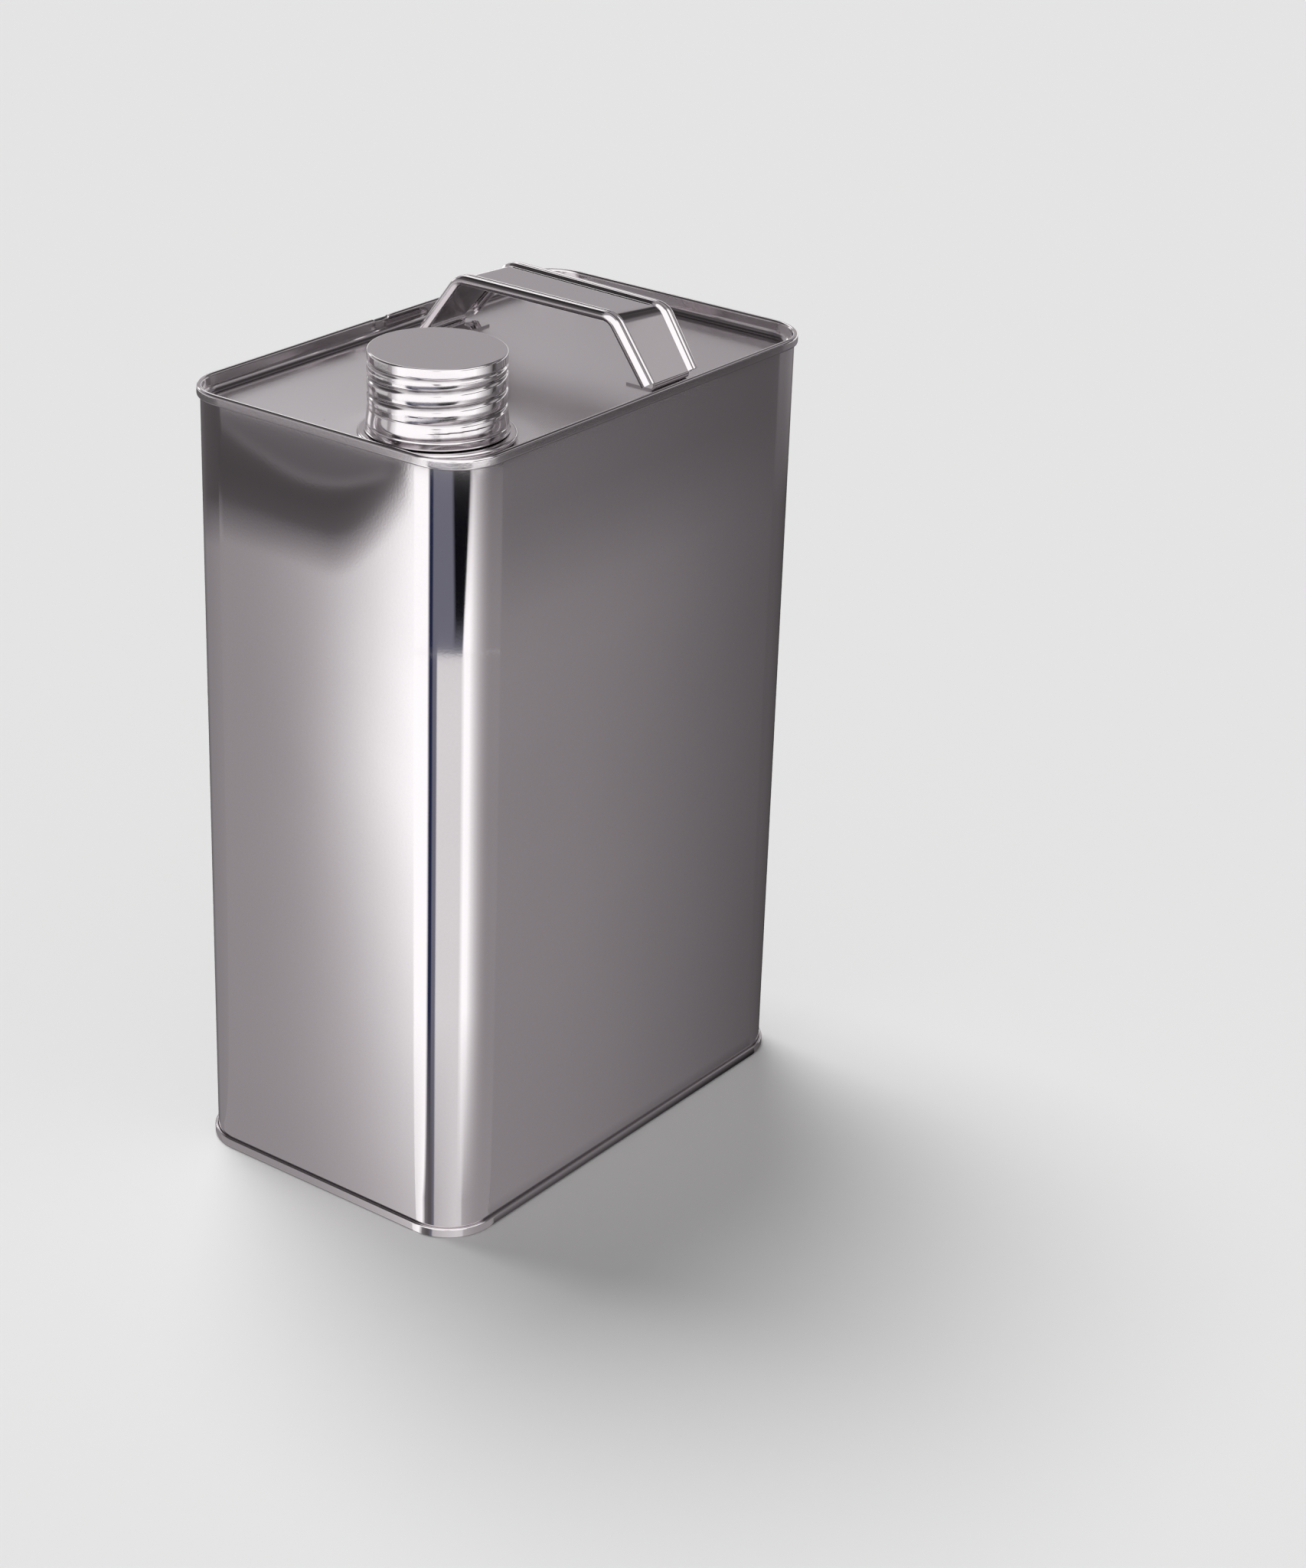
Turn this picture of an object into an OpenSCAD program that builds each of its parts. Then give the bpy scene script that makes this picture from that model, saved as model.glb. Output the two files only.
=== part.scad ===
// Rectangular four-litre tin can: tinplate body closed by two double-seamed ends,
// a strap handle welded to the top end, and a threaded metal neck with a screw cap.
// Origin at the centre of the base, Z up, X along the broad faces. Millimetres.

/* [Body] */
// Width across the narrow faces, measured on the wall
body_w = 163; // [130:1:200]
// Depth across the broad faces, measured on the wall
body_d = 102; // [100:1:140]
// Height over both seams
body_h = 240; // [120:1:320]
// Outside radius of the four upright corners
corner_r = 14.4; // [8:0.1:20]
// Thickness of the tinplate of the body and of both ends
tin_t = 0.3; // [0.24:0.01:0.36]
// Width of the lapped side seam at the back
lap_w = 6; // [4:0.5:12]

/* [Ends and seams] */
// Height of each double seam
seam_h = 3; // [2.6:0.1:4]
// Gap between the folded layers of a seam
seam_gap = 0.03; // [0.02:0.01:0.05]
// Thickness of the sealing compound over the body hook
compound_t = 0.25; // [0.15:0.01:0.35]
// Depth of the top panel below the rim
top_recess = 5; // [4.5:0.1:9]
// Height of the bottom panel above the ground
bottom_recess = 4; // [4:0.1:9]
// Radius of the bend between a panel and its upright wall
panel_bend_r = 0.9; // [0.5:0.1:1.5]
// Width of the flat along the crest of a seam
crest_flat = 0.4; // [0.2:0.05:0.5]

/* [Neck] */
// Distance of the neck's axis from the narrow wall
neck_from_side = 25.1; // [25:0.1:40]
// Distance of the neck's axis from the front broad wall
neck_from_front = 29.3; // [25:0.1:50]
// Radius of the bore that the can is filled and poured through
bore_r = 17.3; // [12:0.1:17.5]
// Sheet thickness of the neck
neck_t = 0.3; // [0.25:0.01:0.4]
// Height of the neck's lip above the top panel
neck_h = 23.6; // [23:0.1:30]
// Outer radius of the flange that sits on the panel
flange_r = 21.9; // [21:0.1:23]
// Height of the rolled flange
flange_h = 1.8; // [1.4:0.1:2.2]
// Thickness of the rubber ring under the flange
gasket_t = 0.5; // [0.3:0.05:1]

/* [Thread] */
// Rise of the thread in one turn
pitch = 4.5; // [4:0.1:5]
// Height of the thread ridges above their walls
thread_h = 0.75; // [0.6:0.05:0.8]
// Width of a thread ridge at its foot
thread_w = 1.8; // [1.4:0.1:2]
// Clearance between a crest and the wall that faces it
thread_clear = 0.4; // [0.3:0.05:0.45]
// Turns of thread on the neck
neck_turns = 3.25; // [2.5:0.25:3.25]
// Turns of thread in the cap
cap_turns = 3; // [2:0.25:3]

/* [Cap] */
// Sheet thickness of the cap
cap_t = 0.35; // [0.3:0.01:0.45]
// Depth of the cap's skirt, from the flat top to the lower edge
cap_h = 22.2; // [21.8:0.1:22.4]
// Radius of the edge between the cap's top and its skirt
cap_edge_r = 1.1; // [0.8:0.1:1.2]
// Depth of the ring groove that holds the liner, below the top
groove_z = 3.2; // [2.8:0.1:3.6]
// Depth that the ring groove is pressed in
groove_in = 0.35; // [0.2:0.05:0.4]
// Height of the outer ribs that the rolled thread raises on the skirt
rib_h = 0.4; // [0.2:0.05:0.5]
// Thickness of the sealing liner
liner_t = 1; // [0.8:0.1:1.2]
// Clearance of the liner in the cap and over the lip
liner_clear = 0.05; // [0.03:0.01:0.1]

/* [Handle] */
// Distance of the handle's centre line from the far narrow wall
handle_from_side = 58.5; // [30:0.5:75]
// Width of the strap over its rolled edges
strap_w = 23; // [18:0.5:30]
// Sheet thickness of the strap
strap_t = 0.6; // [0.5:0.05:0.8]
// Height of the strap's upper face above the top panel
handle_h = 21; // [16:0.5:28]
// Half of the span between the two feet
foot_y = 43; // [40:0.5:44]
// Radius of the upper bends
bend_r = 4; // [4:0.5:8]
// Radius of the bends above the feet
foot_bend_r = 1.2; // [0.8:0.1:1.6]
// Length of the welded tongues, turned in under the strap
tongue_l = 11; // [9:0.5:14]
// Width of the welded tongues
tongue_w = 16.5; // [12:0.5:17]
// Radius of the rolled edges
bead_r = 1.3; // [1.1:0.05:1.6]
// How far the rolled edges stand above the strap's face
bead_rise = 0.5; // [0.2:0.05:0.6]
// Radius of the spot-weld dimples in the tongues
weld_r = 1.6; // [1:0.1:2]

/* [Hidden] */
$fn = 96;

// Places worked out from the sizes above
layer = tin_t + seam_gap;
panel_z = body_h - top_recess;
neck_x = neck_from_side - body_w / 2;
neck_y = neck_from_front - body_d / 2;
lip_z = panel_z + neck_h;
flange_z = panel_z + gasket_t;
neck_r = bore_r + neck_t;
hole_clear = 0.25;
hole_r = neck_r + hole_clear;
collar_r = hole_r + 2;
collar_gap = 0.1;
crest_r = neck_r + thread_h;
skirt_r = crest_r + thread_clear;
cap_r = skirt_r + cap_t;
cap_top_z = lip_z + liner_clear + liner_t + liner_clear + cap_t;
liner_side_clear = 0.15;
handle_x = body_w / 2 - handle_from_side;

// The thread: one helix, with the cap's ridges midway between the neck's
thread_azimuth = 220;
steps_per_turn = 36;
taper_steps = 6;
ridge_root = 0.15;
lip_to_thread = 2.3;
groove_to_thread = 3.3;
cap_thread_top = cap_top_z - groove_z - groove_to_thread;
neck_thread_top = min(lip_z - lip_to_thread, cap_thread_top + pitch / 2);

// Points on an arc in a profile
function arc(centre, r, from, to, n) =
    [for (i = [0:n]) let (a = from + (to - from) * i / n) centre + r * [cos(a), sin(a)]];

function unit(v) = v / norm(v);
function turn_left(v) = [-v[1], v[0]];

// Direction of a path where it enters and where it leaves point i
function way_in(path, i) = i > 0 ? unit(path[i] - path[i - 1]) : unit(path[1] - path[0]);
function way_out(path, i) =
    i < len(path) - 1 ? unit(path[i + 1] - path[i]) : way_in(path, i);

// Point i of a path moved sideways by d, with mitred corners
function beside(path, i, d) =
    let (a = turn_left(way_in(path, i)), m = unit(a + turn_left(way_out(path, i))))
    path[i] + m * d / (m * a);

// Outline of a sheet of thickness t that follows a path along its middle
function sheet_outline(path, t) = let (last = len(path) - 1) concat(
    [for (i = [0:last]) beside(path, i, t / 2)],
    [for (i = [last:-1:0]) beside(path, i, -t / 2)]);

module sheet(path, t) {
    polygon(sheet_outline(path, t));
}

function reversed(list) = [for (i = [len(list) - 1:-1:0]) list[i]];

// Solid through rings of equally many points, each ring anticlockwise as seen from ahead
module loft(rings) {
    m = len(rings[0]);
    n = len(rings) - 1;
    polyhedron([for (ring = rings) each ring], concat(
        [[for (k = [0:m - 1]) k]],
        [[for (k = [m - 1:-1:0]) n * m + k]],
        [for (i = [0:n - 1]) for (k = [0:m - 1]) let (j = (k + 1) % m)
            each [[i * m + k, (i + 1) * m + k, (i + 1) * m + j],
                  [i * m + k, (i + 1) * m + j, i * m + j]]]));
}

// Carries a section round the can: X is the distance outwards from the wall, Y is the height
module around() {
    for (side = [0:3]) {
        across = side % 2 == 0 ? body_w : body_d;
        along = side % 2 == 0 ? body_d : body_w;
        rotate([0, 0, 90 * side]) {
            translate([across / 2, 0, 0]) rotate([90, 0, 0])
                linear_extrude(along - 2 * corner_r, center = true) children();
            translate([across / 2 - corner_r, along / 2 - corner_r, 0])
                rotate_extrude(angle = 90) translate([corner_r, 0]) children();
        }
    }
}

// Heights and depths inside a double seam, below its upper edge
hook_axis = tin_t / 2 + seam_gap;
end_turn_r = 2 * layer - crest_flat / 2;
end_turn_left = [hook_axis - crest_flat / 2, -tin_t / 2 - end_turn_r];
end_turn_right = [hook_axis + crest_flat / 2, -tin_t / 2 - end_turn_r];
hook_turn_r = layer;
body_turn_z = -(tin_t + compound_t + tin_t / 2 + hook_turn_r);
end_hook_z = -(seam_h - tin_t / 2 - hook_turn_r);
body_hook_end = -(seam_h - 2.3 * tin_t);
end_hook_end = body_turn_z - 0.6;

// Middle line of an end, from the panel over the seam to its hook, with the rim at height 0
function end_path(recess) = let (
    foot = arc([-layer - tin_t / 2 - panel_bend_r, -recess - tin_t / 2 + panel_bend_r],
               panel_bend_r, -90, 0, 5)) concat(
    [[-corner_r, foot[0][1]]],
    foot,
    arc(end_turn_left, end_turn_r, 180, 90, 4),
    arc(end_turn_right, end_turn_r, 90, 0, 4),
    arc([hook_axis + hook_turn_r, end_hook_z], hook_turn_r, 0, -180, 6),
    [[hook_axis, end_hook_end]]);

// Middle line of the body's hook at the top, ending on the wall
function hook_path(rim, up) = [for (p = concat(
    [[hook_axis + hook_turn_r, body_hook_end]],
    arc([hook_axis, body_turn_z], hook_turn_r, 0, 180, 6))) [p[0], rim + up * p[1]]];

// The wall, rolled from one sheet: flanged into both seams and lapped at the back
module body() {
    color("silver") {
        around() sheet(concat(hook_path(body_h, 1), reversed(hook_path(0, -1))), tin_t);
        translate([-lap_w / 2, body_d / 2 - tin_t / 2, seam_h])
            cube([lap_w, 1.5 * tin_t, body_h - 2 * seam_h]);
    }
}

// An end with its rim at height 0 and its panel below
module end_shell(recess) {
    around() sheet(end_path(recess), tin_t);
    translate([corner_r - body_w / 2, corner_r - body_d / 2, -recess - tin_t])
        cube([body_w - 2 * corner_r, body_d - 2 * corner_r, tin_t]);
}

module top_end() {
    color("silver") difference() {
        translate([0, 0, body_h]) end_shell(top_recess);
        translate([neck_x, neck_y, panel_z - top_recess])
            cylinder(r = hole_r, h = 2 * top_recess);
    }
}

module bottom_end() {
    color("silver") mirror([0, 0, 1]) end_shell(bottom_recess);
}

// Sealing compound: a crescent between the end's fold and the body's hook, the rim at 0
module compound_section() {
    slack = 0.02;
    polygon(concat(
        arc(end_turn_right, end_turn_r - tin_t / 2 - slack, 20, 90, 3),
        arc(end_turn_left, end_turn_r - tin_t / 2 - slack, 90, 160, 3),
        arc([hook_axis, body_turn_z], hook_turn_r + tin_t / 2 + slack, 150, 30, 6)));
}

module top_seam_compound() {
    color("dimgray") translate([0, 0, body_h]) around() compound_section();
}

module bottom_seam_compound() {
    color("dimgray") mirror([0, 0, 1]) around() compound_section();
}

// A helical ridge that ends at a height and fades out at both ends. The sign of h is the
// side of the wall that it stands on.
module ridge(wall_r, h, top_z, turns) {
    n = round(steps_per_turn * turns);
    side = sign(h);
    section = [[-ridge_root, -0.5], [0.6, -0.33], [1, 0], [0.6, 0.33], [-ridge_root, 0.5]];
    rings = [for (i = [0:n]) let (
        fade = min(1, (i + 0.5) / taper_steps, (n - i + 0.5) / taper_steps),
        a = thread_azimuth - 360 * i / steps_per_turn,
        z = top_z - pitch * i / steps_per_turn)
        [for (q = section) let (r = wall_r + (q[0] > 0 ? q[0] * fade * h : q[0] * side))
            [r * cos(a), r * sin(a), z + q[1] * thread_w]]];
    loft(side > 0 ? rings : [for (ring = rings) reversed(ring)]);
}

// Middle line of the neck: lip, wall, folded flange, and the collar clinched below the panel
function neck_path() = let (
    mid = bore_r + neck_t / 2,
    fold = (flange_h - neck_t) / 2,
    bend = 0.5,
    collar_z = panel_z - tin_t - collar_gap - neck_t / 2) concat(
    [[mid, lip_z]],
    arc([mid + bend, flange_z + flange_h - neck_t / 2 + bend], bend, 180, 270, 4),
    arc([flange_r - neck_t / 2 - fold, flange_z + flange_h / 2], fold, 90, -90, 8),
    arc([mid + bend, flange_z + neck_t / 2 - bend], bend, 90, 180, 4),
    arc([mid + bend, collar_z + bend], bend, 180, 270, 4),
    [[collar_r, collar_z]]);

module neck() {
    color("silver") translate([neck_x, neck_y, 0]) {
        rotate_extrude() sheet(neck_path(), neck_t);
        ridge(neck_r, thread_h, neck_thread_top, neck_turns);
    }
}

// Rubber ring under the flange
module neck_gasket() {
    slack = 0.02;
    color("black") translate([neck_x, neck_y, panel_z]) difference() {
        cylinder(r = flange_r - flange_h / 2, h = gasket_t - slack);
        translate([0, 0, -gasket_t]) cylinder(r = hole_r + 0.9, h = 3 * gasket_t);
    }
}

// Middle line of the cap: flat top, edge, ring groove, skirt, and the rolled lower edge
function cap_path() = let (
    mid = cap_r - cap_t / 2,
    top = cap_top_z - cap_t / 2,
    edge = cap_edge_r - cap_t / 2,
    curl = 0.2,
    low = cap_top_z - cap_h + cap_t / 2 + curl) concat(
    [[0, top]],
    arc([mid - edge, top - edge], edge, 90, 0, 6),
    [for (k = [-4:4]) [mid - groove_in * (1 + cos(45 * k)) / 2,
                       cap_top_z - groove_z - k * 0.16]],
    arc([mid + curl, low], curl, 180, 350, 7));

module screw_cap() {
    color("gainsboro") translate([neck_x, neck_y, 0]) {
        rotate_extrude() sheet(cap_path(), cap_t);
        ridge(skirt_r, -thread_h, cap_thread_top, cap_turns);
        ridge(cap_r, rib_h, cap_thread_top + pitch / 2, cap_turns + 0.25);
    }
}

// Disc of foam whose upper edge is rounded to fit under the cap's edge
module cap_liner() {
    r = skirt_r - liner_side_clear;
    edge = cap_edge_r - cap_t - liner_side_clear;
    color("white") translate([neck_x, neck_y, lip_z + liner_clear]) rotate_extrude()
        polygon(concat([[0, 0], [r, 0]], arc([r - edge, liner_t - edge], edge, 0, 90, 5),
                       [[0, liner_t]]));
}

// The handle stands on the panel, and is drawn from there. Each leg rises four for every
// three that it leans in, and its bends begin these lengths before their corners.
leg_slope = atan2(4, 3);
leg_rise = handle_h - strap_t;
flat_y = foot_y - leg_rise * 3 / 4 - bend_r / 2;
leg = leg_rise * 5 / 4 - bend_r / 2 - foot_bend_r * 2;
tongue_flat = tongue_l - foot_bend_r * 2;

// The strap's section: a flat web whose edges are rolled, the outer face at +Y
module strap_section() {
    edge_x = strap_w / 2 - bead_r;
    edge_y = strap_t / 2 + bead_rise - bead_r;
    difference() {
        union() {
            square([2 * edge_x, strap_t], center = true);
            for (side = [-1, 1]) translate([side * edge_x, edge_y]) circle(r = bead_r);
        }
        for (side = [-1, 1]) translate([side * edge_x, edge_y]) circle(r = bead_r - strap_t);
    }
}

module tongue_section() {
    square([tongue_w, strap_t], center = true);
}

// Carries a section straight along +Y, from a place given as [Y, Z]
module straight(from, length) {
    translate([0, from[0] + length, from[1]]) rotate([90, 0, 0])
        linear_extrude(length) children();
}

// Carries a section round the X axis, between two angles measured from -Z
module bend(r, from, to) {
    rotate([0, 90, 0]) rotate([0, 0, from]) rotate_extrude(angle = to - from)
        translate([r, 0]) rotate(-90) children();
}

// A tongue with its two spot-weld dimples
module tongue() {
    difference() {
        straight([-tongue_flat, 0], tongue_flat) tongue_section();
        for (side = [-1, 1]) translate([side * tongue_w / 4, -tongue_flat / 2, 0])
            cylinder(r1 = weld_r / 2, r2 = weld_r, h = strap_t);
    }
}

// Half of the strap: flat top, upper bend, leg, and the tongue turned in under the arch
module half_handle() {
    translate([0, flat_y, handle_h - strap_t / 2 - bend_r]) {
        straight([-flat_y, bend_r], flat_y) strap_section();
        bend(bend_r, 180 - leg_slope, 180) strap_section();
        rotate([-leg_slope, 0, 0]) {
            straight([0, bend_r], leg) strap_section();
            translate([0, leg, bend_r - foot_bend_r]) rotate([leg_slope, 0, 0]) {
                bend(foot_bend_r, 0, 180 - leg_slope) tongue_section();
                translate([0, 0, -foot_bend_r]) tongue();
            }
        }
    }
}

module handle() {
    color("lightgray") translate([handle_x, 0, panel_z]) {
        half_handle();
        mirror([0, 1, 0]) half_handle();
    }
}

body();
top_end();
bottom_end();
top_seam_compound();
bottom_seam_compound();
neck();
neck_gasket();
handle();
screw_cap();
cap_liner();
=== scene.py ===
"""Looks of the rectangular tin can: its sheet-metal meshes, finishes, studio and camera.

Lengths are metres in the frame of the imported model: Z up, X along the broad faces with the
neck towards -X, and Y across them with the side seam at +Y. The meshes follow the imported
solids closely. They add what such a can shows from a step away: walls that bow a little,
rounded seams, and threads that are rolled into the neck and the cap.
"""

import logging
import math
from dataclasses import dataclass, field
from enum import Enum
from typing import Callable, Iterable, Sequence

import bmesh
import bpy
from mathutils import Matrix, Vector, noise


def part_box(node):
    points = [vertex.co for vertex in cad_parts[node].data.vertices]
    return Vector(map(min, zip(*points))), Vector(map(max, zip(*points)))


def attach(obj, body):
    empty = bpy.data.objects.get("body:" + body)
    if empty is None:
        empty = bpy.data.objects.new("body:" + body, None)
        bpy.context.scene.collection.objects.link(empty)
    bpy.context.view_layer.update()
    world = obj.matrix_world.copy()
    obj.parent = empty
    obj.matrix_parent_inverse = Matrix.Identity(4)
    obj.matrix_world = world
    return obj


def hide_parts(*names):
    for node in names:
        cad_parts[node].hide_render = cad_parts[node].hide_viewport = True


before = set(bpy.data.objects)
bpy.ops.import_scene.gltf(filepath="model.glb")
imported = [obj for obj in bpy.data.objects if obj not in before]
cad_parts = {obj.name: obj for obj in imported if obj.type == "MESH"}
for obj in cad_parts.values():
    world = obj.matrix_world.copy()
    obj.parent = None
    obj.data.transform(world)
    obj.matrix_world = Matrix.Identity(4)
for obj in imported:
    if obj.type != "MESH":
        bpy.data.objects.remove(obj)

LOG = logging.getLogger("tin_can")
MM = 0.001
# Name of the mesh attribute that marks painted shade in creases, grooves and under folded edges
CREASE_SHADE = "painted_crease_shade"
SATIN = "satin_area"
# Depth at which a rolled groove gets its full painted shade
GROOVE_SHADE = 0.5 * MM
# Lean of the handle's legs, which rise 4 for 3 along
LEG_SLOPE = math.atan2(4, 3)

Pair = tuple[float, float]
Triple = tuple[float, float, float]
Tone = Triple
Stops = Sequence[tuple[float, Tone]]
Given = dict[str | int, object]


def arc(centre: Pair, radius: float, start: float, end: float, steps: int) -> list[Pair]:
    """Points on an arc of a section.

    Args:
        centre: Middle of the arc.
        radius: Radius of the arc.
        start: Angle of the first point, in degrees.
        end: Angle of the last point, in degrees.
        steps: How many chords the arc has.

    Returns:
        The points, one more than the chords.
    """
    turns = [math.radians(start + (end - start) * i / steps) for i in range(steps + 1)]
    return [(centre[0] + radius * math.cos(a), centre[1] + radius * math.sin(a)) for a in turns]


def smooth(x: float) -> float:
    """Eases a share from 0 to 1, held at both ends."""
    x = min(1.0, max(0.0, x))
    return x * x * (3 - 2 * x)


def divided(path: Sequence[Pair], longest: float) -> list[Pair]:
    """Adds points to a path so that no stretch of it is long.

    Args:
        path: Points of the path.
        longest: Greatest distance between neighbours.

    Returns:
        The path with points added on its straight stretches.
    """
    points = [path[0]]
    for a, b in zip(path, path[1:]):
        parts = max(1, math.ceil(math.dist(a, b) / longest))
        for k in range(1, parts + 1):
            share = k / parts
            points.append((a[0] + (b[0] - a[0]) * share, a[1] + (b[1] - a[1]) * share))
    return points


def held(path: Sequence[Pair], margin: float = 0.08 * MM) -> list[Pair]:
    """Adds points close to both ends of each straight stretch, so that it stays flat when shaded.

    Args:
        path: Points of the path.
        margin: Distance of the added points from the ends.

    Returns:
        The path with the added points.
    """
    points = [path[0]]
    for a, b in zip(path, path[1:]):
        way = Vector(b) - Vector(a)
        if way.length > 5 * margin:
            step = way.normalized() * margin
            points.append(tuple(Vector(a) + step))
            points.append(tuple(Vector(b) - step))
        points.append(b)
    return points


def sheet_outline(path: Sequence[Pair], thickness: float) -> list[Pair]:
    """Outline of a sheet that follows a path along its middle.

    Args:
        path: Middle line of the sheet.
        thickness: Thickness of the sheet.

    Returns:
        The left side from start to end, then the right side back again.
    """
    last = len(path) - 1
    sides = []
    for half in (thickness / 2, -thickness / 2):
        side = []
        for i, here in enumerate(path):
            before = Vector(here) - Vector(path[i - 1]) if i else None
            after = Vector(path[i + 1]) - Vector(here) if i < last else before
            before = (before or after).normalized()
            left = Vector((-before.y, before.x))
            other = Vector((-after.normalized().y, after.normalized().x))
            mitre = (left + other).normalized()
            side.append(tuple(Vector(here) + mitre * (half / mitre.dot(left))))
        sides.append(side)
    return sides[0] + sides[1][::-1]


@dataclass
class Draft:
    """Vertices and faces of a piece while it is being built.

    Attributes:
        points: Places of the vertices.
        painted_shade: Amount of painted shade at each, which darkens creases where shade falls.
        satin: How far each is satin instead of bright.
        faces: Numbers of the vertices round each face.
    """

    points: list[Vector] = field(default_factory=list)
    painted_shade: list[float] = field(default_factory=list)
    satin: list[float] = field(default_factory=list)
    faces: list[tuple[int, ...]] = field(default_factory=list)

    def ring(self, points: Iterable[Sequence[float]], painted_shade: Sequence[float] | float = 0.0,
             satin: Sequence[float] | float = 0.0) -> list[int]:
        """Adds points.

        Args:
            points: The points in order.
            painted_shade: How much painted shade lies there, from 0 to 1, for all of them or for each; it
                darkens creases where shade falls.
            satin: How far the sheet is satin there instead of bright, from 0 to 1, in the same way.

        Returns:
            The numbers of the points.
        """
        start = len(self.points)
        self.points.extend(Vector(p) for p in points)
        count = len(self.points) - start
        self.painted_shade.extend([painted_shade] * count if isinstance(painted_shade, float) else painted_shade)
        self.satin.extend([satin] * count if isinstance(satin, float) else satin)
        return list(range(start, len(self.points)))

    def bridge(self, a: Sequence[int], b: Sequence[int]) -> None:
        """Joins two rings of equally many points with quads.

        Args:
            a: Numbers of the first ring.
            b: Numbers of the second ring.
        """
        count = len(a)
        for i in range(count):
            j = (i + 1) % count
            self.faces.append((a[i], a[j], b[j], b[i]))

    def skin(self, rings: Sequence[Sequence[int]], tube: bool = False) -> None:
        """Joins rings in order, and the last to the first where they form a tube."""
        for a, b in zip(rings, rings[1:]):
            self.bridge(a, b)
        if tube:
            self.bridge(rings[-1], rings[0])

    def lid(self, ring: Sequence[int]) -> None:
        """Closes a ring with one face."""
        self.faces.append(tuple(ring))

    def to_object(self, name: str, crease: float = 38.0) -> bpy.types.Object:
        """Makes the Blender object.

        Args:
            name: Name of the piece.
            crease: Angle in degrees past which an edge is sharp.

        Returns:
            The object, at the origin.
        """
        mesh = bpy.data.meshes.new(name)
        mesh.from_pydata([tuple(p) for p in self.points], [], self.faces)
        # The painted shade in creases and the satin areas go onto the mesh as attributes.
        mesh.attributes.new(CREASE_SHADE, "FLOAT", "POINT").data.foreach_set("value", self.painted_shade)
        mesh.attributes.new(SATIN, "FLOAT", "POINT").data.foreach_set("value", self.satin)
        work = bmesh.new()
        work.from_mesh(mesh)
        bmesh.ops.remove_doubles(work, verts=work.verts, dist=1e-6)
        bmesh.ops.dissolve_degenerate(work, dist=1e-7, edges=work.edges)
        bmesh.ops.recalc_face_normals(work, faces=work.faces)
        work.to_mesh(mesh)
        work.free()
        mesh.shade_smooth()
        mesh.set_sharp_from_angle(angle=math.radians(crease))
        piece = bpy.data.objects.new(name, mesh)
        bpy.context.scene.collection.objects.link(piece)
        return piece


@dataclass(frozen=True)
class Station:
    """One place on the way round the wall.

    Attributes:
        spot: Place on the wall's outer face, as X and Y.
        out: Direction outwards.
        bow: Share of the wall's bow, from 0 at a corner to 1 in the middle of a face.
    """

    spot: Vector
    out: Vector
    bow: float

    def at(self, outward: float, height: float) -> Vector:
        """Point at a distance outwards from the wall and at a height."""
        place = self.spot + self.out * outward
        return Vector((place.x, place.y, height))

    def faces_back(self) -> bool:
        """Whether the place is on the flat of the back face, which holds the side seam."""
        return self.out.y > 0.99


@dataclass(frozen=True)
class Plan:
    """The can seen from above: a rectangle with round corners.

    Attributes:
        half_x: Half its width.
        half_y: Half its depth.
        corner_r: Radius of its corners.
        corner_steps: Places on each corner.
        side_steps: Places on each side.
    """

    half_x: float
    half_y: float
    corner_r: float
    corner_steps: int = 22
    side_steps: int = 40

    def stations(self, marks: Sequence[float]) -> list[Station]:
        """Places round the wall, anticlockwise from the far narrow face.

        Args:
            marks: Places along the back face that get a station of their own.

        Returns:
            The places in order.
        """
        found = []
        for side in range(4):
            turn = math.radians(90 * side)
            out = Vector((math.cos(turn), math.sin(turn)))
            way = Vector((-out.y, out.x))
            across, along = (self.half_x, self.half_y) if side % 2 == 0 else (self.half_y, self.half_x)
            flat = along - self.corner_r
            for i in range(self.side_steps):
                share = 2 * i / self.side_steps - 1
                bow = math.cos(share * math.pi / 2) ** 2
                found.append(Station(out * across + way * (flat * share), out, bow))
            hub = out * (across - self.corner_r) + way * flat
            for j in range(self.corner_steps):
                a = turn + math.radians(90 * j / self.corner_steps)
                out_here = Vector((math.cos(a), math.sin(a)))
                found.append(Station(hub + out_here * self.corner_r, out_here, 0.0))
        flat = self.half_x - self.corner_r
        first = self.side_steps + self.corner_steps
        back = found[first:first + self.side_steps]
        for x in marks:
            bow = math.cos(x / flat * math.pi / 2) ** 2
            back.append(Station(Vector((x, self.half_y)), Vector((0.0, 1.0)), bow))
        back.sort(key=lambda s: -s.spot.x)
        return found[:first] + back + found[first + self.side_steps:]


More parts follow.
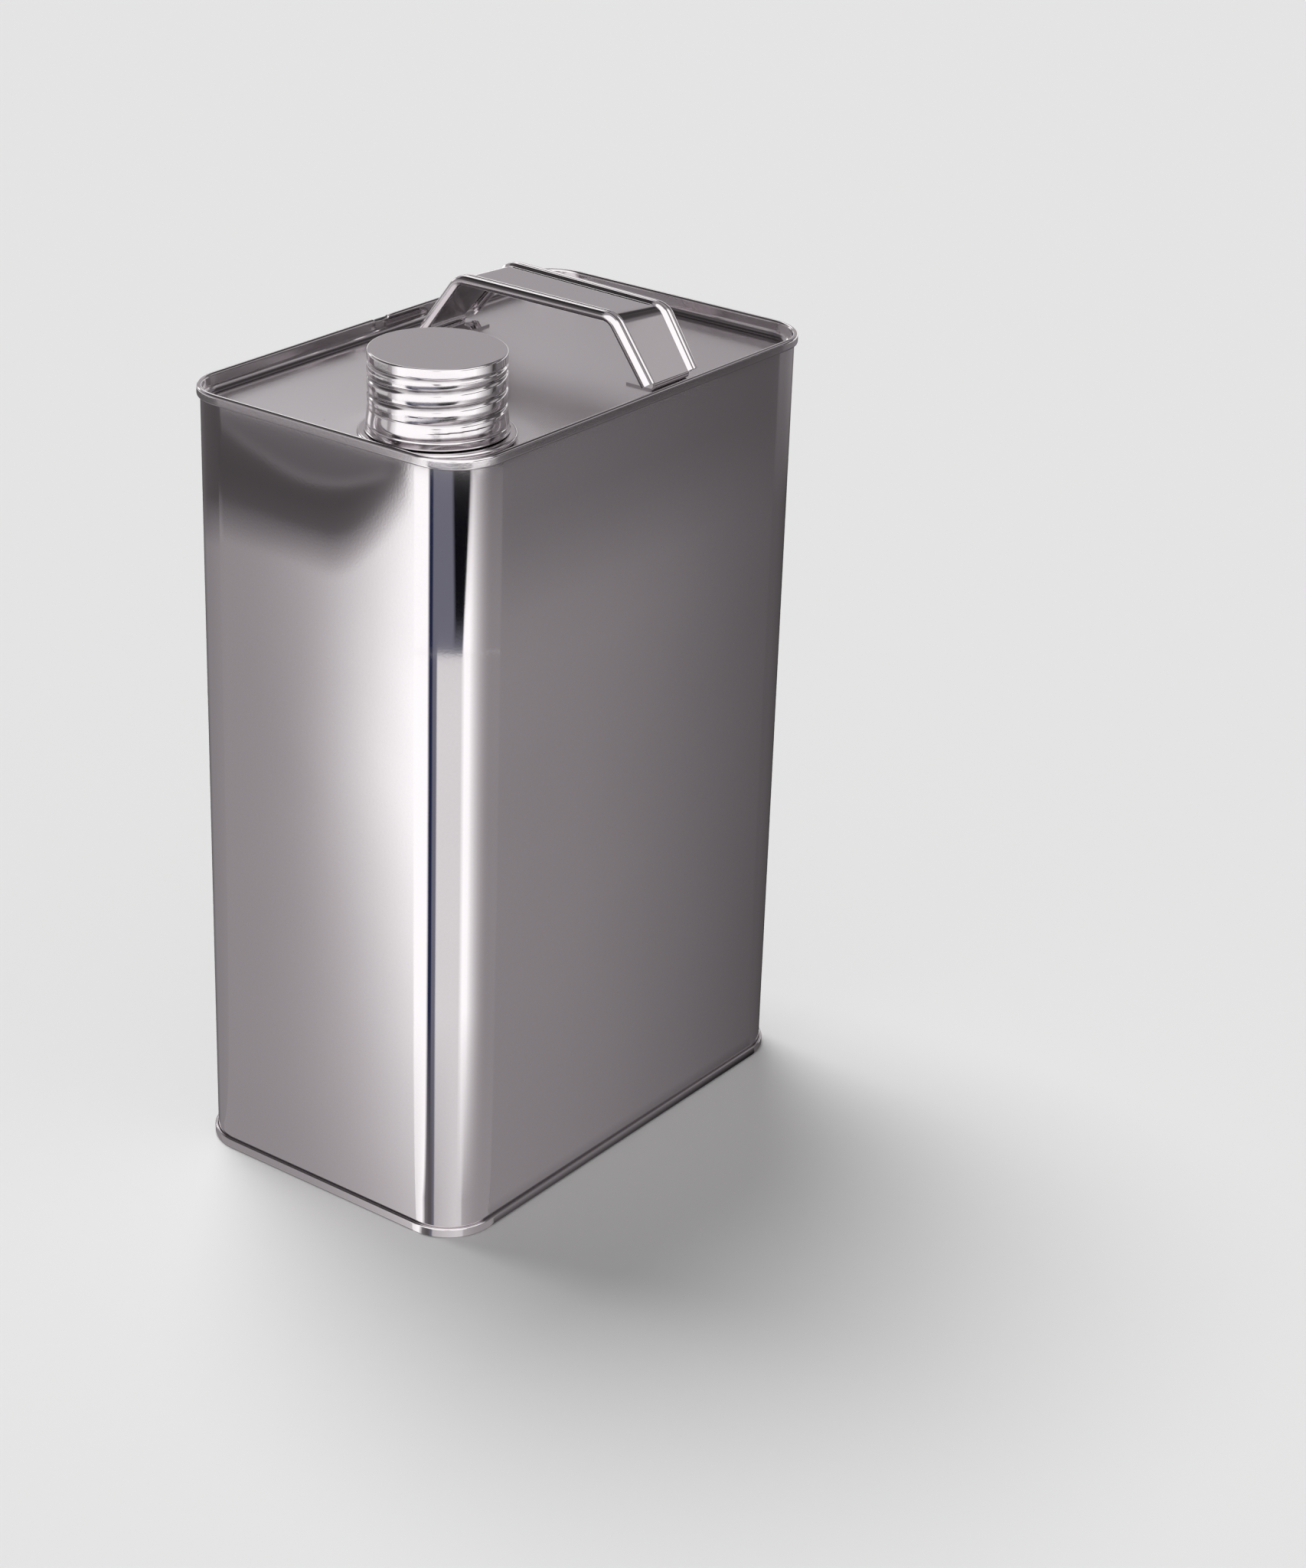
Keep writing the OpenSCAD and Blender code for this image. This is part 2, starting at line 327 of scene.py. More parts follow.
@dataclass(frozen=True)
class SeamSizes:
    """Sizes of the tinplate and of a double seam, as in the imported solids.

    Attributes:
        tin: Thickness of the sheet.
        gap: Gap between the layers.
        height: Height of the seam.
        crest_flat: Width of the flat along its crest.
        compound: Thickness of the sealing compound over the body's hook.
        panel_bend: Radius of the bend between an end's wall and its panel.
        hook_rise: How far under the bend of the body's hook the end's hook stops.
        hook_end: How far over the seam's lower edge the body's hook ends, in thicknesses.
    """

    tin: float = 0.3 * MM
    gap: float = 0.03 * MM
    height: float = 3.0 * MM
    crest_flat: float = 0.1 * MM
    compound: float = 0.25 * MM
    panel_bend: float = 2.2 * MM
    hook_rise: float = 0.6 * MM
    hook_end: float = 2.3

    @property
    def layer(self) -> float:
        """Distance between the middles of neighbouring layers."""
        return self.tin + self.gap

    @property
    def axis(self) -> float:
        """Distance of the hooks' common axis from the wall's outer face."""
        return self.tin / 2 + self.gap

    @property
    def out(self) -> float:
        """How far the seam stands out from the wall."""
        return self.axis + 2 * self.layer + self.tin / 2

    @property
    def turn_z(self) -> float:
        """Height of the axis of the body hook's bend, from the rim."""
        return -(self.tin * 1.5 + self.compound + self.layer)

    def end_path(self, recess: float) -> list[Pair]:
        """Middle line of an end, from the edge of its panel over the seam to its hook.

        Args:
            recess: Depth of the panel below the rim, which is at height 0.

        Returns:
            Points as distance outwards from the wall and height.
        """
        radius = 2 * self.layer - self.crest_flat / 2
        crest_z = -self.tin / 2 - radius
        half = self.crest_flat / 2
        hook_z = -(self.height - self.tin / 2 - self.layer)
        return [
            *arc((-self.layer - self.tin / 2 - self.panel_bend, -recess - self.tin / 2 + self.panel_bend),
                 self.panel_bend, -90, 0, 8),
            *arc((self.axis - half, crest_z), radius, 180, 90, 8),
            *arc((self.axis + half, crest_z), radius, 90, 0, 8),
            *arc((self.axis + self.layer, hook_z), self.layer, 0, -180, 10),
            (self.axis, self.turn_z - self.hook_rise),
        ]

    def hook_path(self, rim: float, up: int) -> list[Pair]:
        """Middle line of the body's hook, from its edge to the wall.

        Args:
            rim: Height of the rim.
            up: 1 at the top and -1 at the bottom.

        Returns:
            Points as distance outwards from the wall and height.
        """
        edge = (self.axis + self.layer, -(self.height - self.hook_end * self.tin))
        bend = arc((self.axis, self.turn_z), self.layer, 0, 180, 10)
        return [(s, rim + up * z) for s, z in [edge, *bend]]


@dataclass(frozen=True)
class Helix:
    """A rolled thread: one ridge that winds round a wall and fades out at both ends.

    Attributes:
        top: Height of the ridge's upper end.
        turns: How many turns it makes.
        height: How far it stands out.
        width: Width of the ridge at its foot.
        pitch: Rise in one turn.
        azimuth: Angle in degrees at which the upper end lies.
        fade: Share of a turn over which each end fades.
        bulge: How far the wall bulges out halfway between the turns.
    """

    top: float
    turns: float
    height: float
    width: float
    pitch: float = 4.5 * MM
    azimuth: float = 220.0
    fade: float = 0.16
    bulge: float = 0.0

    def rise(self, angle: float, height: float) -> float:
        """How far the wall stands out at a place.

        Args:
            angle: Angle round the axis, in degrees.
            height: Height of the place.

        Returns:
            Distance outwards.
        """
        first = (self.azimuth - angle) / 360
        down = (self.top - height) / self.pitch
        turn = first + round(down - first)
        ends = min(smooth(turn / self.fade), smooth((self.turns - turn) / self.fade))
        away = abs(height - (self.top - self.pitch * turn))
        between = self.bulge * (1 - math.cos(2 * math.pi * away / self.pitch)) / 2
        ridge = self.height * (1 + math.cos(math.pi * min(1.0, away / (self.width / 2)))) / 2
        return ends * (ridge + between)


class Slot(Enum):
    """Material slots of the record."""

    BODY = "tinplate_body"
    END = "tinplate_end"
    COMPOUND = "seam_compound"
    NECK = "tinplate_neck"
    GASKET = "gasket_rubber"
    HANDLE = "handle_steel"
    CAP = "cap_metal"
    LINER = "liner_foam"


class Graph:
    """A node tree that gets its nodes one by one."""

    def __init__(self, tree: bpy.types.NodeTree) -> None:
        """Takes the tree that the nodes go into."""
        self.tree = tree

    @classmethod
    def group(cls, name: str, inputs: dict[str, float], outputs: Sequence[str]) -> "Graph":
        """Makes a node group with float sockets.

        Args:
            name: Name of the group.
            inputs: Names and starting values of its inputs.
            outputs: Names of its outputs.

        Returns:
            The graph of the empty group.
        """
        tree = bpy.data.node_groups.new(name, "ShaderNodeTree")
        for title, value in inputs.items():
            socket = tree.interface.new_socket(title, in_out="INPUT", socket_type="NodeSocketFloat")
            socket.default_value = value
        for title in outputs:
            tree.interface.new_socket(title, in_out="OUTPUT", socket_type="NodeSocketFloat")
        return cls(tree)

    def feed(self, node: bpy.types.Node, given: Given) -> None:
        """Links sockets to a node's inputs, and sets the inputs that get plain values.

        Args:
            node: The node.
            given: What its inputs get, by name or number.
        """
        for name, value in given.items():
            if isinstance(value, bpy.types.NodeSocket):
                self.tree.links.new(value, node.inputs[name])
            else:
                node.inputs[name].default_value = value

    def add(self, kind: str, given: Given | None = None,
            **settings: object) -> bpy.types.bpy_prop_collection:
        """Adds a node.

        Args:
            kind: Blender's name of the node's type.
            given: What its inputs get, by name or number.
            settings: The node's own settings, such as its operation.

        Returns:
            The node's outputs.
        """
        node = self.tree.nodes.new(kind)
        for name, value in settings.items():
            setattr(node, name, value)
        self.feed(node, given or {})
        return node.outputs

    def maths(self, operation: str, *given: object, clamp: bool = False) -> bpy.types.NodeSocket:
        """Adds a maths node for sockets and numbers, and gives its result."""
        return self.add("ShaderNodeMath", dict(enumerate(given)), operation=operation, use_clamp=clamp)[0]

    def mix(self, share: bpy.types.NodeSocket, a: object, b: object) -> bpy.types.NodeSocket:
        """Adds a mix of two colours, each a socket or a colour, and gives its result."""
        return self.add("ShaderNodeMix", {"Factor": share, "A": a, "B": b}, data_type="RGBA")["Result"]

    def noise(self, scale: bpy.types.NodeSocket, stretch: Sequence[float] = (1, 1, 1),
              detail: float = 2.0) -> bpy.types.NodeSocket:
        """Adds noise that is fixed to the piece.

        Args:
            scale: Socket with the number of cells in a metre.
            stretch: How much finer the cells are along each axis.
            detail: How many finer layers are added.

        Returns:
            The noise, from 0 to 1.
        """
        place = self.add("ShaderNodeTexCoord")["Object"]
        place = self.add("ShaderNodeMapping", {"Vector": place, "Scale": stretch})["Vector"]
        return self.add("ShaderNodeTexNoise", {"Vector": place, "Scale": scale, "Detail": detail})["Fac"]


class Effects:
    """Shader node groups that several finishes share."""

    def __init__(self) -> None:
        """Builds each group once."""
        self.grain = self._grain()
        self.handling = self._handling()
        self.crease_shade = self._crease_shade()

    @staticmethod
    def _grain() -> bpy.types.NodeTree:
        """Fine crystalline grain of tinned sheet with faint rolling lines."""
        graph = Graph.group("tin_grain", {"Fine Scale": 900.0, "Roll Scale": 60.0}, ("Grain", "Roll"))
        given = graph.add("NodeGroupInput")
        grain = graph.noise(given["Fine Scale"], detail=3.0)
        roll = graph.noise(given["Roll Scale"], (1, 1, 0.06))
        graph.add("NodeGroupOutput", {"Grain": grain, "Roll": roll})
        return graph.tree

    @staticmethod
    def _handling() -> bpy.types.NodeTree:
        """Soft smudges and sparse specks that handling leaves on bright metal."""
        scales = {"Smudge Scale": 14.0, "Speck Scale": 120.0, "Speck Size": 0.05}
        graph = Graph.group("handling_marks", scales, ("Smudge", "Speck"))
        given = graph.add("NodeGroupInput")
        smudge = graph.noise(given["Smudge Scale"], detail=4.0)
        place = graph.add("ShaderNodeTexCoord")["Object"]
        cells = graph.add("ShaderNodeTexVoronoi", {"Vector": place, "Scale": given["Speck Scale"]})
        # A speck lies in four cells of a hundred, and covers what is under it by 0.6.
        near = graph.maths("LESS_THAN", cells["Distance"], given["Speck Size"])
        chance = graph.add("ShaderNodeSeparateColor", {0: cells["Color"]})[0]
        rare = graph.maths("GREATER_THAN", chance, 0.96)
        speck = graph.maths("MULTIPLY", graph.maths("MULTIPLY", near, rare), 0.6)
        graph.add("NodeGroupOutput", {"Smudge": smudge, "Speck": speck})
        return graph.tree

    @staticmethod
    def _crease_shade() -> bpy.types.NodeTree:
        """Painted shade that darkens grooves and the sheet under folded edges, as the mesh marks them."""
        graph = Graph.group("painted_crease_shade", {"Amount": 1.0, "Break Scale": 260.0}, ("Painted Shade",))
        given = graph.add("NodeGroupInput")
        marked = graph.add("ShaderNodeAttribute", attribute_name=CREASE_SHADE)["Fac"]
        broken = graph.maths("ADD", graph.noise(given["Break Scale"], detail=3.0), 0.45)
        amount = graph.maths("MULTIPLY", graph.maths("MULTIPLY", marked, broken), given["Amount"])
        graph.add("NodeGroupOutput", {"Painted Shade": graph.maths("MINIMUM", amount, 1.0)})
        return graph.tree


def surfaced(name: str) -> tuple[bpy.types.Material, Graph, bpy.types.Node]:
    """Makes a material.

    Args:
        name: Name of the material.

    Returns:
        The material, the graph of its nodes and its Principled BSDF.
    """
    made = bpy.data.materials.new(name)
    made.use_nodes = True
    return made, Graph(made.node_tree), made.node_tree.nodes["Principled BSDF"]


@dataclass(frozen=True)
class MetalFinish:
    """A bright metal finish.

    Attributes:
        name: Name of the material.
        tone: Colour of the clean metal.
        dull_tone: Colour where it is smudged.
        roughness: Roughness of the clean metal.
        dull_roughness: Roughness where it is smudged.
        grain: Depth of the fine grain.
        fine_scale: Grains in a metre.
        roll: Depth of the rolling lines.
        mottle: How far the grain shifts the colour.
        painted_shade: How strongly the painted shade darkens the creases.
        satin: Roughness that a satin area adds.
    """

    name: str
    tone: Tone
    dull_tone: Tone
    roughness: float
    dull_roughness: float
    grain: float = 0.02
    fine_scale: float = 1400.0
    roll: float = 0.0
    mottle: float = 0.3
    painted_shade: float = 0.8
    satin: float = 0.0

    def material(self, effects: Effects) -> bpy.types.Material:
        """Builds the material.

        Args:
            effects: The shared node groups.

        Returns:
            The material.
        """
        made, graph, shader = surfaced(self.name)
        grain = graph.add("ShaderNodeGroup", {"Fine Scale": self.fine_scale}, node_tree=effects.grain)
        marks = graph.add("ShaderNodeGroup", node_tree=effects.handling)
        painted_shade = graph.add("ShaderNodeGroup", {"Amount": self.painted_shade}, node_tree=effects.crease_shade)["Painted Shade"]
        dull = graph.maths("MULTIPLY_ADD", grain["Grain"], self.mottle, marks["Smudge"], clamp=True)
        sheet = graph.mix(dull, (*self.tone, 1), (*self.dull_tone, 1))
        # Painted shade in the creases and the handling specks both darken the sheet towards one dark tone.
        colour = graph.mix(graph.maths("MAXIMUM", painted_shade, marks["Speck"]), sheet, (*SPECK_AND_SHADE_TONE, 1))
        smudged = {"Value": marks["Smudge"], "From Min": 0.3, "From Max": 0.7,
                   "To Min": self.roughness, "To Max": self.dull_roughness}
        rough = graph.add("ShaderNodeMapRange", smudged)["Result"]
        area = graph.add("ShaderNodeAttribute", attribute_name=SATIN)["Fac"]
        rougher = graph.maths("MULTIPLY_ADD", area, self.satin, rough)
        fine = graph.maths("MULTIPLY", grain["Grain"], self.grain)
        depth = graph.maths("MULTIPLY_ADD", grain["Roll"], self.roll, fine)
        normal = graph.add("ShaderNodeBump", {"Distance": MM, "Height": depth})["Normal"]
        graph.feed(shader, {"Base Color": colour, "Metallic": 1.0, "Roughness": rougher,
                            "Normal": normal})
        return made


@dataclass(frozen=True)
class SoftFinish:
    """A dull finish for rubber, foam and sealing compound.

    Attributes:
        name: Name of the material.
        tone: Its colour.
        pale_tone: Its colour where the grain is pale.
        roughness: Its roughness.
        fine_scale: Grains in a metre.
    """

    name: str
    tone: Tone
    pale_tone: Tone
    roughness: float
    fine_scale: float

    def material(self, effects: Effects) -> bpy.types.Material:
        """Builds the material.

        Args:
            effects: The shared node groups.

        Returns:
            The material.
        """
        made, graph, shader = surfaced(self.name)
        grain = graph.add("ShaderNodeGroup", {"Fine Scale": self.fine_scale},
                          node_tree=effects.grain)["Grain"]
        colour = graph.mix(grain, (*self.tone, 1), (*self.pale_tone, 1))
        normal = graph.add("ShaderNodeBump", {"Distance": 0.1 * MM, "Height": grain})["Normal"]
        graph.feed(shader, {"Base Color": colour, "Roughness": self.roughness, "Normal": normal})
        return made


BRIGHT = (0.73, 0.695, 0.71)
DULL = (0.65, 0.62, 0.635)
# Dark tone of the handling specks and of the painted shade in creases
SPECK_AND_SHADE_TONE = (0.09, 0.08, 0.085)
FINISHES: dict[Slot, MetalFinish | SoftFinish] = {
    Slot.BODY: MetalFinish("bright_tinplate", BRIGHT, DULL, 0.035, 0.055, grain=0.001, roll=0.002,
                           mottle=0.45),
    Slot.END: MetalFinish("satin_tinplate", BRIGHT, DULL, 0.06, 0.1, grain=0.003, mottle=0.45,
                          satin=0.13),
    Slot.NECK: MetalFinish("bright_neck", BRIGHT, DULL, 0.07, 0.11, grain=0.002),
    Slot.HANDLE: MetalFinish("tinned_strap", BRIGHT, DULL, 0.06, 0.1, grain=0.003, satin=0.2),
    Slot.CAP: MetalFinish("rolled_cap", BRIGHT, DULL, 0.07, 0.11, grain=0.002, painted_shade=0.6),
    Slot.COMPOUND: SoftFinish("cured_compound", (0.02, 0.02, 0.022), (0.05, 0.05, 0.055), 0.6, 1500.0),
    Slot.GASKET: SoftFinish("black_rubber", (0.008, 0.008, 0.008), (0.02, 0.02, 0.02), 0.7, 2500.0),
    Slot.LINER: SoftFinish("white_foam", (0.72, 0.72, 0.7), (0.84, 0.84, 0.82), 0.85, 3000.0),
}


@dataclass(frozen=True)
class CanSizes:
    """Sizes of the whole can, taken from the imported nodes.

    Attributes:
        seam: Sizes of the double seams.
        half_x: Half the wall's width.
        half_y: Half its depth.
        top: Height of the rim.
        panel_z: Height of the top panel.
        neck_x: Place of the neck's axis along X.
        neck_y: Its place along Y.
        corner_r: Radius of the wall's corners.
    """

    seam: SeamSizes
    half_x: float
    half_y: float
    top: float
    panel_z: float
    neck_x: float
    neck_y: float
    corner_r: float = 14.4 * MM

    @classmethod
    def from_frame(cls) -> "CanSizes":
        """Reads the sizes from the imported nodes."""
        seam = SeamSizes()
        _, end_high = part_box("top_end")
        strap_low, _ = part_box("handle")
        neck_low, neck_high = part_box("neck")
        neck = (neck_low + neck_high) / 2
        half_x, half_y = end_high.x - seam.out, end_high.y - seam.out
        return cls(seam, half_x, half_y, end_high.z, strap_low.z, neck.x, neck.y)


@dataclass
class Piece:
    """What every dressed piece of the can needs.

    Attributes:
        sizes: Sizes of the can.
        materials: The finished materials by slot.
    """

    sizes: CanSizes
    materials: dict[Slot, bpy.types.Material]

    def dress(self, piece: bpy.types.Object, node: str, body: str, slot: Slot) -> bpy.types.Object:
        """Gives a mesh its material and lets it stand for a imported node.

        Args:
            piece: The mesh object.
            node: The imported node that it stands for.
            body: The body that it moves with.
            slot: The material slot of its finish.

        Returns:
            The same object.
        """
        piece.data.materials.append(self.materials[slot])
        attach(piece, body)
        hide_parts(node)
        LOG.info("%s: %d faces", piece.name, len(piece.data.polygons))
        return piece


@dataclass
class CanBody(Piece):
    """The wall: one rolled sheet, hooked into both seams and lapped at the back.

    Attributes:
        bow: How far the middle of a face stands out.
        ripple: Height of the sheet's long waves.
        corner_ripple: Share of the long waves that the corners have.
        ripple_cells: Long waves in a metre.
        fine_ripple: Height of the short waves.
        fine_cells: Short waves in a metre.
        stiff_parts: Bow and ripple set in over the height divided by this, next to each seam.
        row: Greatest height of a row of faces.
        lap_half: Half the width of the lapped side seam.
        lap_rise: How far the side seam stands out.
        lap_slope: Width of each of its edges.
        painted_shade_reach: How far the painted shade reaches from a seam along the wall.
        painted_shade: Amount of painted shade under the top seam, where the seam overhangs the wall.
        low_painted_shade: Amount of painted shade over the bottom seam.
    """

    bow: float = 0.1 * MM
    ripple: float = 0.045 * MM
    corner_ripple: float = 0.3
    ripple_cells: float = 16.0
    fine_ripple: float = 0.01 * MM
    fine_cells: float = 48.0
    stiff_parts: float = 12.0
    row: float = 3.0 * MM
    lap_half: float = 3.0 * MM
    lap_rise: float = 0.28 * MM
    lap_slope: float = 0.5 * MM
    painted_shade_reach: float = 0.6 * MM
    painted_shade: float = 0.5
    low_painted_shade: float = 0.15

    def shape(self, station: Station, outward: float, height: float, outer: bool) -> Vector:
        """Place of a point of the wall, with its bow, ripple and lap.

        Args:
            station: Place round the wall.
            outward: Distance outwards in the plain section.
            height: Height in the plain section.
            outer: Whether the point is on the outer face.

        Returns:
            The point.
        """
        seam_h = self.sizes.seam.height
        free = (height - seam_h) / (self.sizes.top - 2 * seam_h)
        hold = smooth(free * self.stiff_parts) * smooth((1 - free) * self.stiff_parts)
        plain = station.at(outward, height)
        gain = self.corner_ripple + (1 - self.corner_ripple) * station.bow
        wave = noise.noise(plain * self.ripple_cells) * self.ripple * gain
        wave += noise.noise(plain * self.fine_cells) * self.fine_ripple
        push = hold * (self.bow * station.bow * math.sin(math.pi * min(1, max(0, free))) + wave)
        if outer and station.faces_back():
            push += hold * self.lap_rise * smooth((self.lap_half - abs(station.spot.x)) / self.lap_slope)
        return station.at(outward + push, height)

    def build(self) -> bpy.types.Object:
        """Builds and dresses the wall."""
        sizes = self.sizes
        top = sizes.seam.hook_path(sizes.top, 1)
        bottom = sizes.seam.hook_path(0.0, -1)
        under, over = sizes.top - sizes.seam.height, sizes.seam.height
        ends = [(top[-1][0], z) for z in (under, under - self.painted_shade_reach, over + self.painted_shade_reach, over)]
        path = top + divided([top[-1], *ends, bottom[-1]], self.row)[1:-1] + bottom[::-1]
        outline = sheet_outline(held(path), sizes.seam.tin)
        half = len(outline) // 2
        draft = Draft()
        edges = (self.lap_half, self.lap_half - self.lap_slope / 2, self.lap_half - self.lap_slope)
        marks = [e * k for e in edges for k in (1, -1)]
        stations = Plan(sizes.half_x, sizes.half_y, sizes.corner_r).stations(marks)
        outer_first = outline[half // 2][0] > outline[half + half // 2][0]
        rings = []
        for k, (outward, height) in enumerate(outline):
            outer = (k < half) == outer_first
            # Painted shade: the sheet is darkened within reach of each seam, most under the top one.
            clear = min(height, sizes.top - height) - sizes.seam.height
            most = self.painted_shade if height > sizes.top / 2 else self.low_painted_shade
            painted_shade = most * (1 - smooth(clear / self.painted_shade_reach))
            rings.append(draft.ring((self.shape(s, outward, height, outer) for s in stations), painted_shade))
        draft.skin(rings, tube=True)
        return self.dress(draft.to_object("can_body"), "body", "can", Slot.BODY)


@dataclass
class CanEnd(Piece):
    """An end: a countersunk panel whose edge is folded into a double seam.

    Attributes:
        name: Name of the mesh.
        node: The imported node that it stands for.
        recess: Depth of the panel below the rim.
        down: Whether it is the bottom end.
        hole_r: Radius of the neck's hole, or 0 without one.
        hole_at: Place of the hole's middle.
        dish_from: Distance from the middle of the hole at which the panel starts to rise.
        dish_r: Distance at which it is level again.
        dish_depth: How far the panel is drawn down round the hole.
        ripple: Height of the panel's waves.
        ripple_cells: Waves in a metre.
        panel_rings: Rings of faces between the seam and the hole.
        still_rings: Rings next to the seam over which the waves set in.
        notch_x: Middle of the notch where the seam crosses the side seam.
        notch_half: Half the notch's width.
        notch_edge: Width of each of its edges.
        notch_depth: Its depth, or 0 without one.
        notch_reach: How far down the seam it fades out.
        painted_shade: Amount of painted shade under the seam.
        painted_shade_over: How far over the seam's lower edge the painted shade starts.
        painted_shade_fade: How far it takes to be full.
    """

    name: str = "can_top"
    node: str = "top_end"
    recess: float = 5.0 * MM
    down: bool = False
    hole_r: float = 0.0
    hole_at: Pair = (0.0, 0.0)
    dish_from: float = 22.0 * MM
    dish_r: float = 30.0 * MM
    dish_depth: float = 0.1 * MM
    ripple: float = 0.05 * MM
    ripple_cells: float = 22.0
    panel_rings: int = 40
    still_rings: int = 5
    notch_x: float = 3.5 * MM
    notch_half: float = 3.4 * MM
    notch_edge: float = 0.9 * MM
    notch_depth: float = 0.0
    notch_reach: float = 1.6 * MM
    painted_shade: float = 0.7
    painted_shade_over: float = 0.5 * MM
    painted_shade_fade: float = 0.4 * MM

    def panel_rise(self, place: Vector) -> float:
        """Height of the pressed panel over its plain plane."""
        away = (Vector((place.x, place.y)) - Vector(self.hole_at)).length
        dish = 0.0
        if self.hole_r:
            level = smooth((away - self.dish_from) / (self.dish_r - self.dish_from))
            dish = -self.dish_depth * (1 - level)
        return dish + noise.noise(place * self.ripple_cells) * self.ripple

    def at(self, station: Station, outward: float, height: float) -> Vector:
        """Place of a point of the seam, with the notch where it crosses the side seam.

        Args:
            station: Place round the wall.
            outward: Distance outwards from the wall.
            height: Height over the rim, or below it at the bottom end.

        Returns:
            The point.
        """
        rim, up = (0.0, -1) if self.down else (self.sizes.top, 1)
        place = station.at(outward, rim + up * height)
        if station.faces_back() and self.notch_depth:
            across = smooth((self.notch_half - abs(station.spot.x - self.notch_x)) / self.notch_edge)
            place.z -= up * self.notch_depth * across * smooth(1 + height / self.notch_reach)
        return place

    def panel(self, draft: Draft, edge: Sequence[int]) -> list[list[int]]:
        """Adds the rings of one face of the panel.

        Args:
            draft: Where the points go.
            edge: Numbers of the ring of points at which the seam ends.

        Returns:
            The rings, from the seam inwards.
        """
        hub = Vector(self.hole_at)
        corners = [draft.points[i] for i in edge]
        rings = []
        for k in range(1, self.panel_rings + 1):
            share = k / self.panel_rings
            hold = smooth(k / self.still_rings)
            row = []
            for corner in corners:
                way = Vector((corner.x, corner.y)) - hub
                flat = hub + way.lerp(way.normalized() * max(self.hole_r, 1e-7), share)
                rise = self.panel_rise(Vector((flat.x, flat.y, 0))) * hold
                row.append(Vector((flat.x, flat.y, corner.z + rise)))
            rings.append(draft.ring(row, satin=hold))
        return rings

    def build(self) -> bpy.types.Object:
        """Builds and dresses the end."""
        sizes = self.sizes
        outline = sheet_outline(held(sizes.seam.end_path(self.recess)), sizes.seam.tin)
        edges = [self.notch_half - self.notch_edge * k / 3 for k in range(4)]
        marks = [self.notch_x + side * e for e in edges for side in (1, -1)]
        stations = Plan(sizes.half_x, sizes.half_y, sizes.corner_r).stations(marks)
        draft = Draft()
        seam = []
        for outward, height in outline:
            # Painted shade darkens the seam's outer layers towards its lower edge.
            low = smooth((self.painted_shade_over - height - sizes.seam.height) / self.painted_shade_fade)
            painted_shade = self.painted_shade * low if outward > 0 else 0.0
            seam.append(draft.ring((self.at(s, outward, height) for s in stations), painted_shade))
        first, last = self.panel(draft, seam[0]), self.panel(draft, seam[-1])
        draft.skin(first[::-1] + seam + last, tube=bool(self.hole_r))
        return self.dress(draft.to_object(self.name), self.node, "can", Slot.END)


def revolved(draft: Draft, hub: Pair, outline: Sequence[Pair], steps: int,
             push: Callable[[int, float, float], float]) -> None:
    """Turns a closed outline round an upright axis.

    Args:
        draft: Where the points and faces go.
        hub: Place of the axis.
        outline: Points as radius and height.
        steps: How many columns the piece has.
        push: How far a point moves outwards, from its number, angle and height.
    """
    rings = []
    for k, (radius, height) in enumerate(outline):
        row = []
        painted_shade = []
        for i in range(steps):
            degrees = 360 * i / steps
            a = math.radians(degrees)
            moved = push(k, degrees, height)
            here = radius + moved
            row.append((hub[0] + here * math.cos(a), hub[1] + here * math.sin(a), height))
            # Painted shade in the grooves: the deeper the groove, the darker.
            painted_shade.append(smooth(-moved / GROOVE_SHADE))
        rings.append(draft.ring(row, painted_shade))
    draft.skin(rings, tube=True)


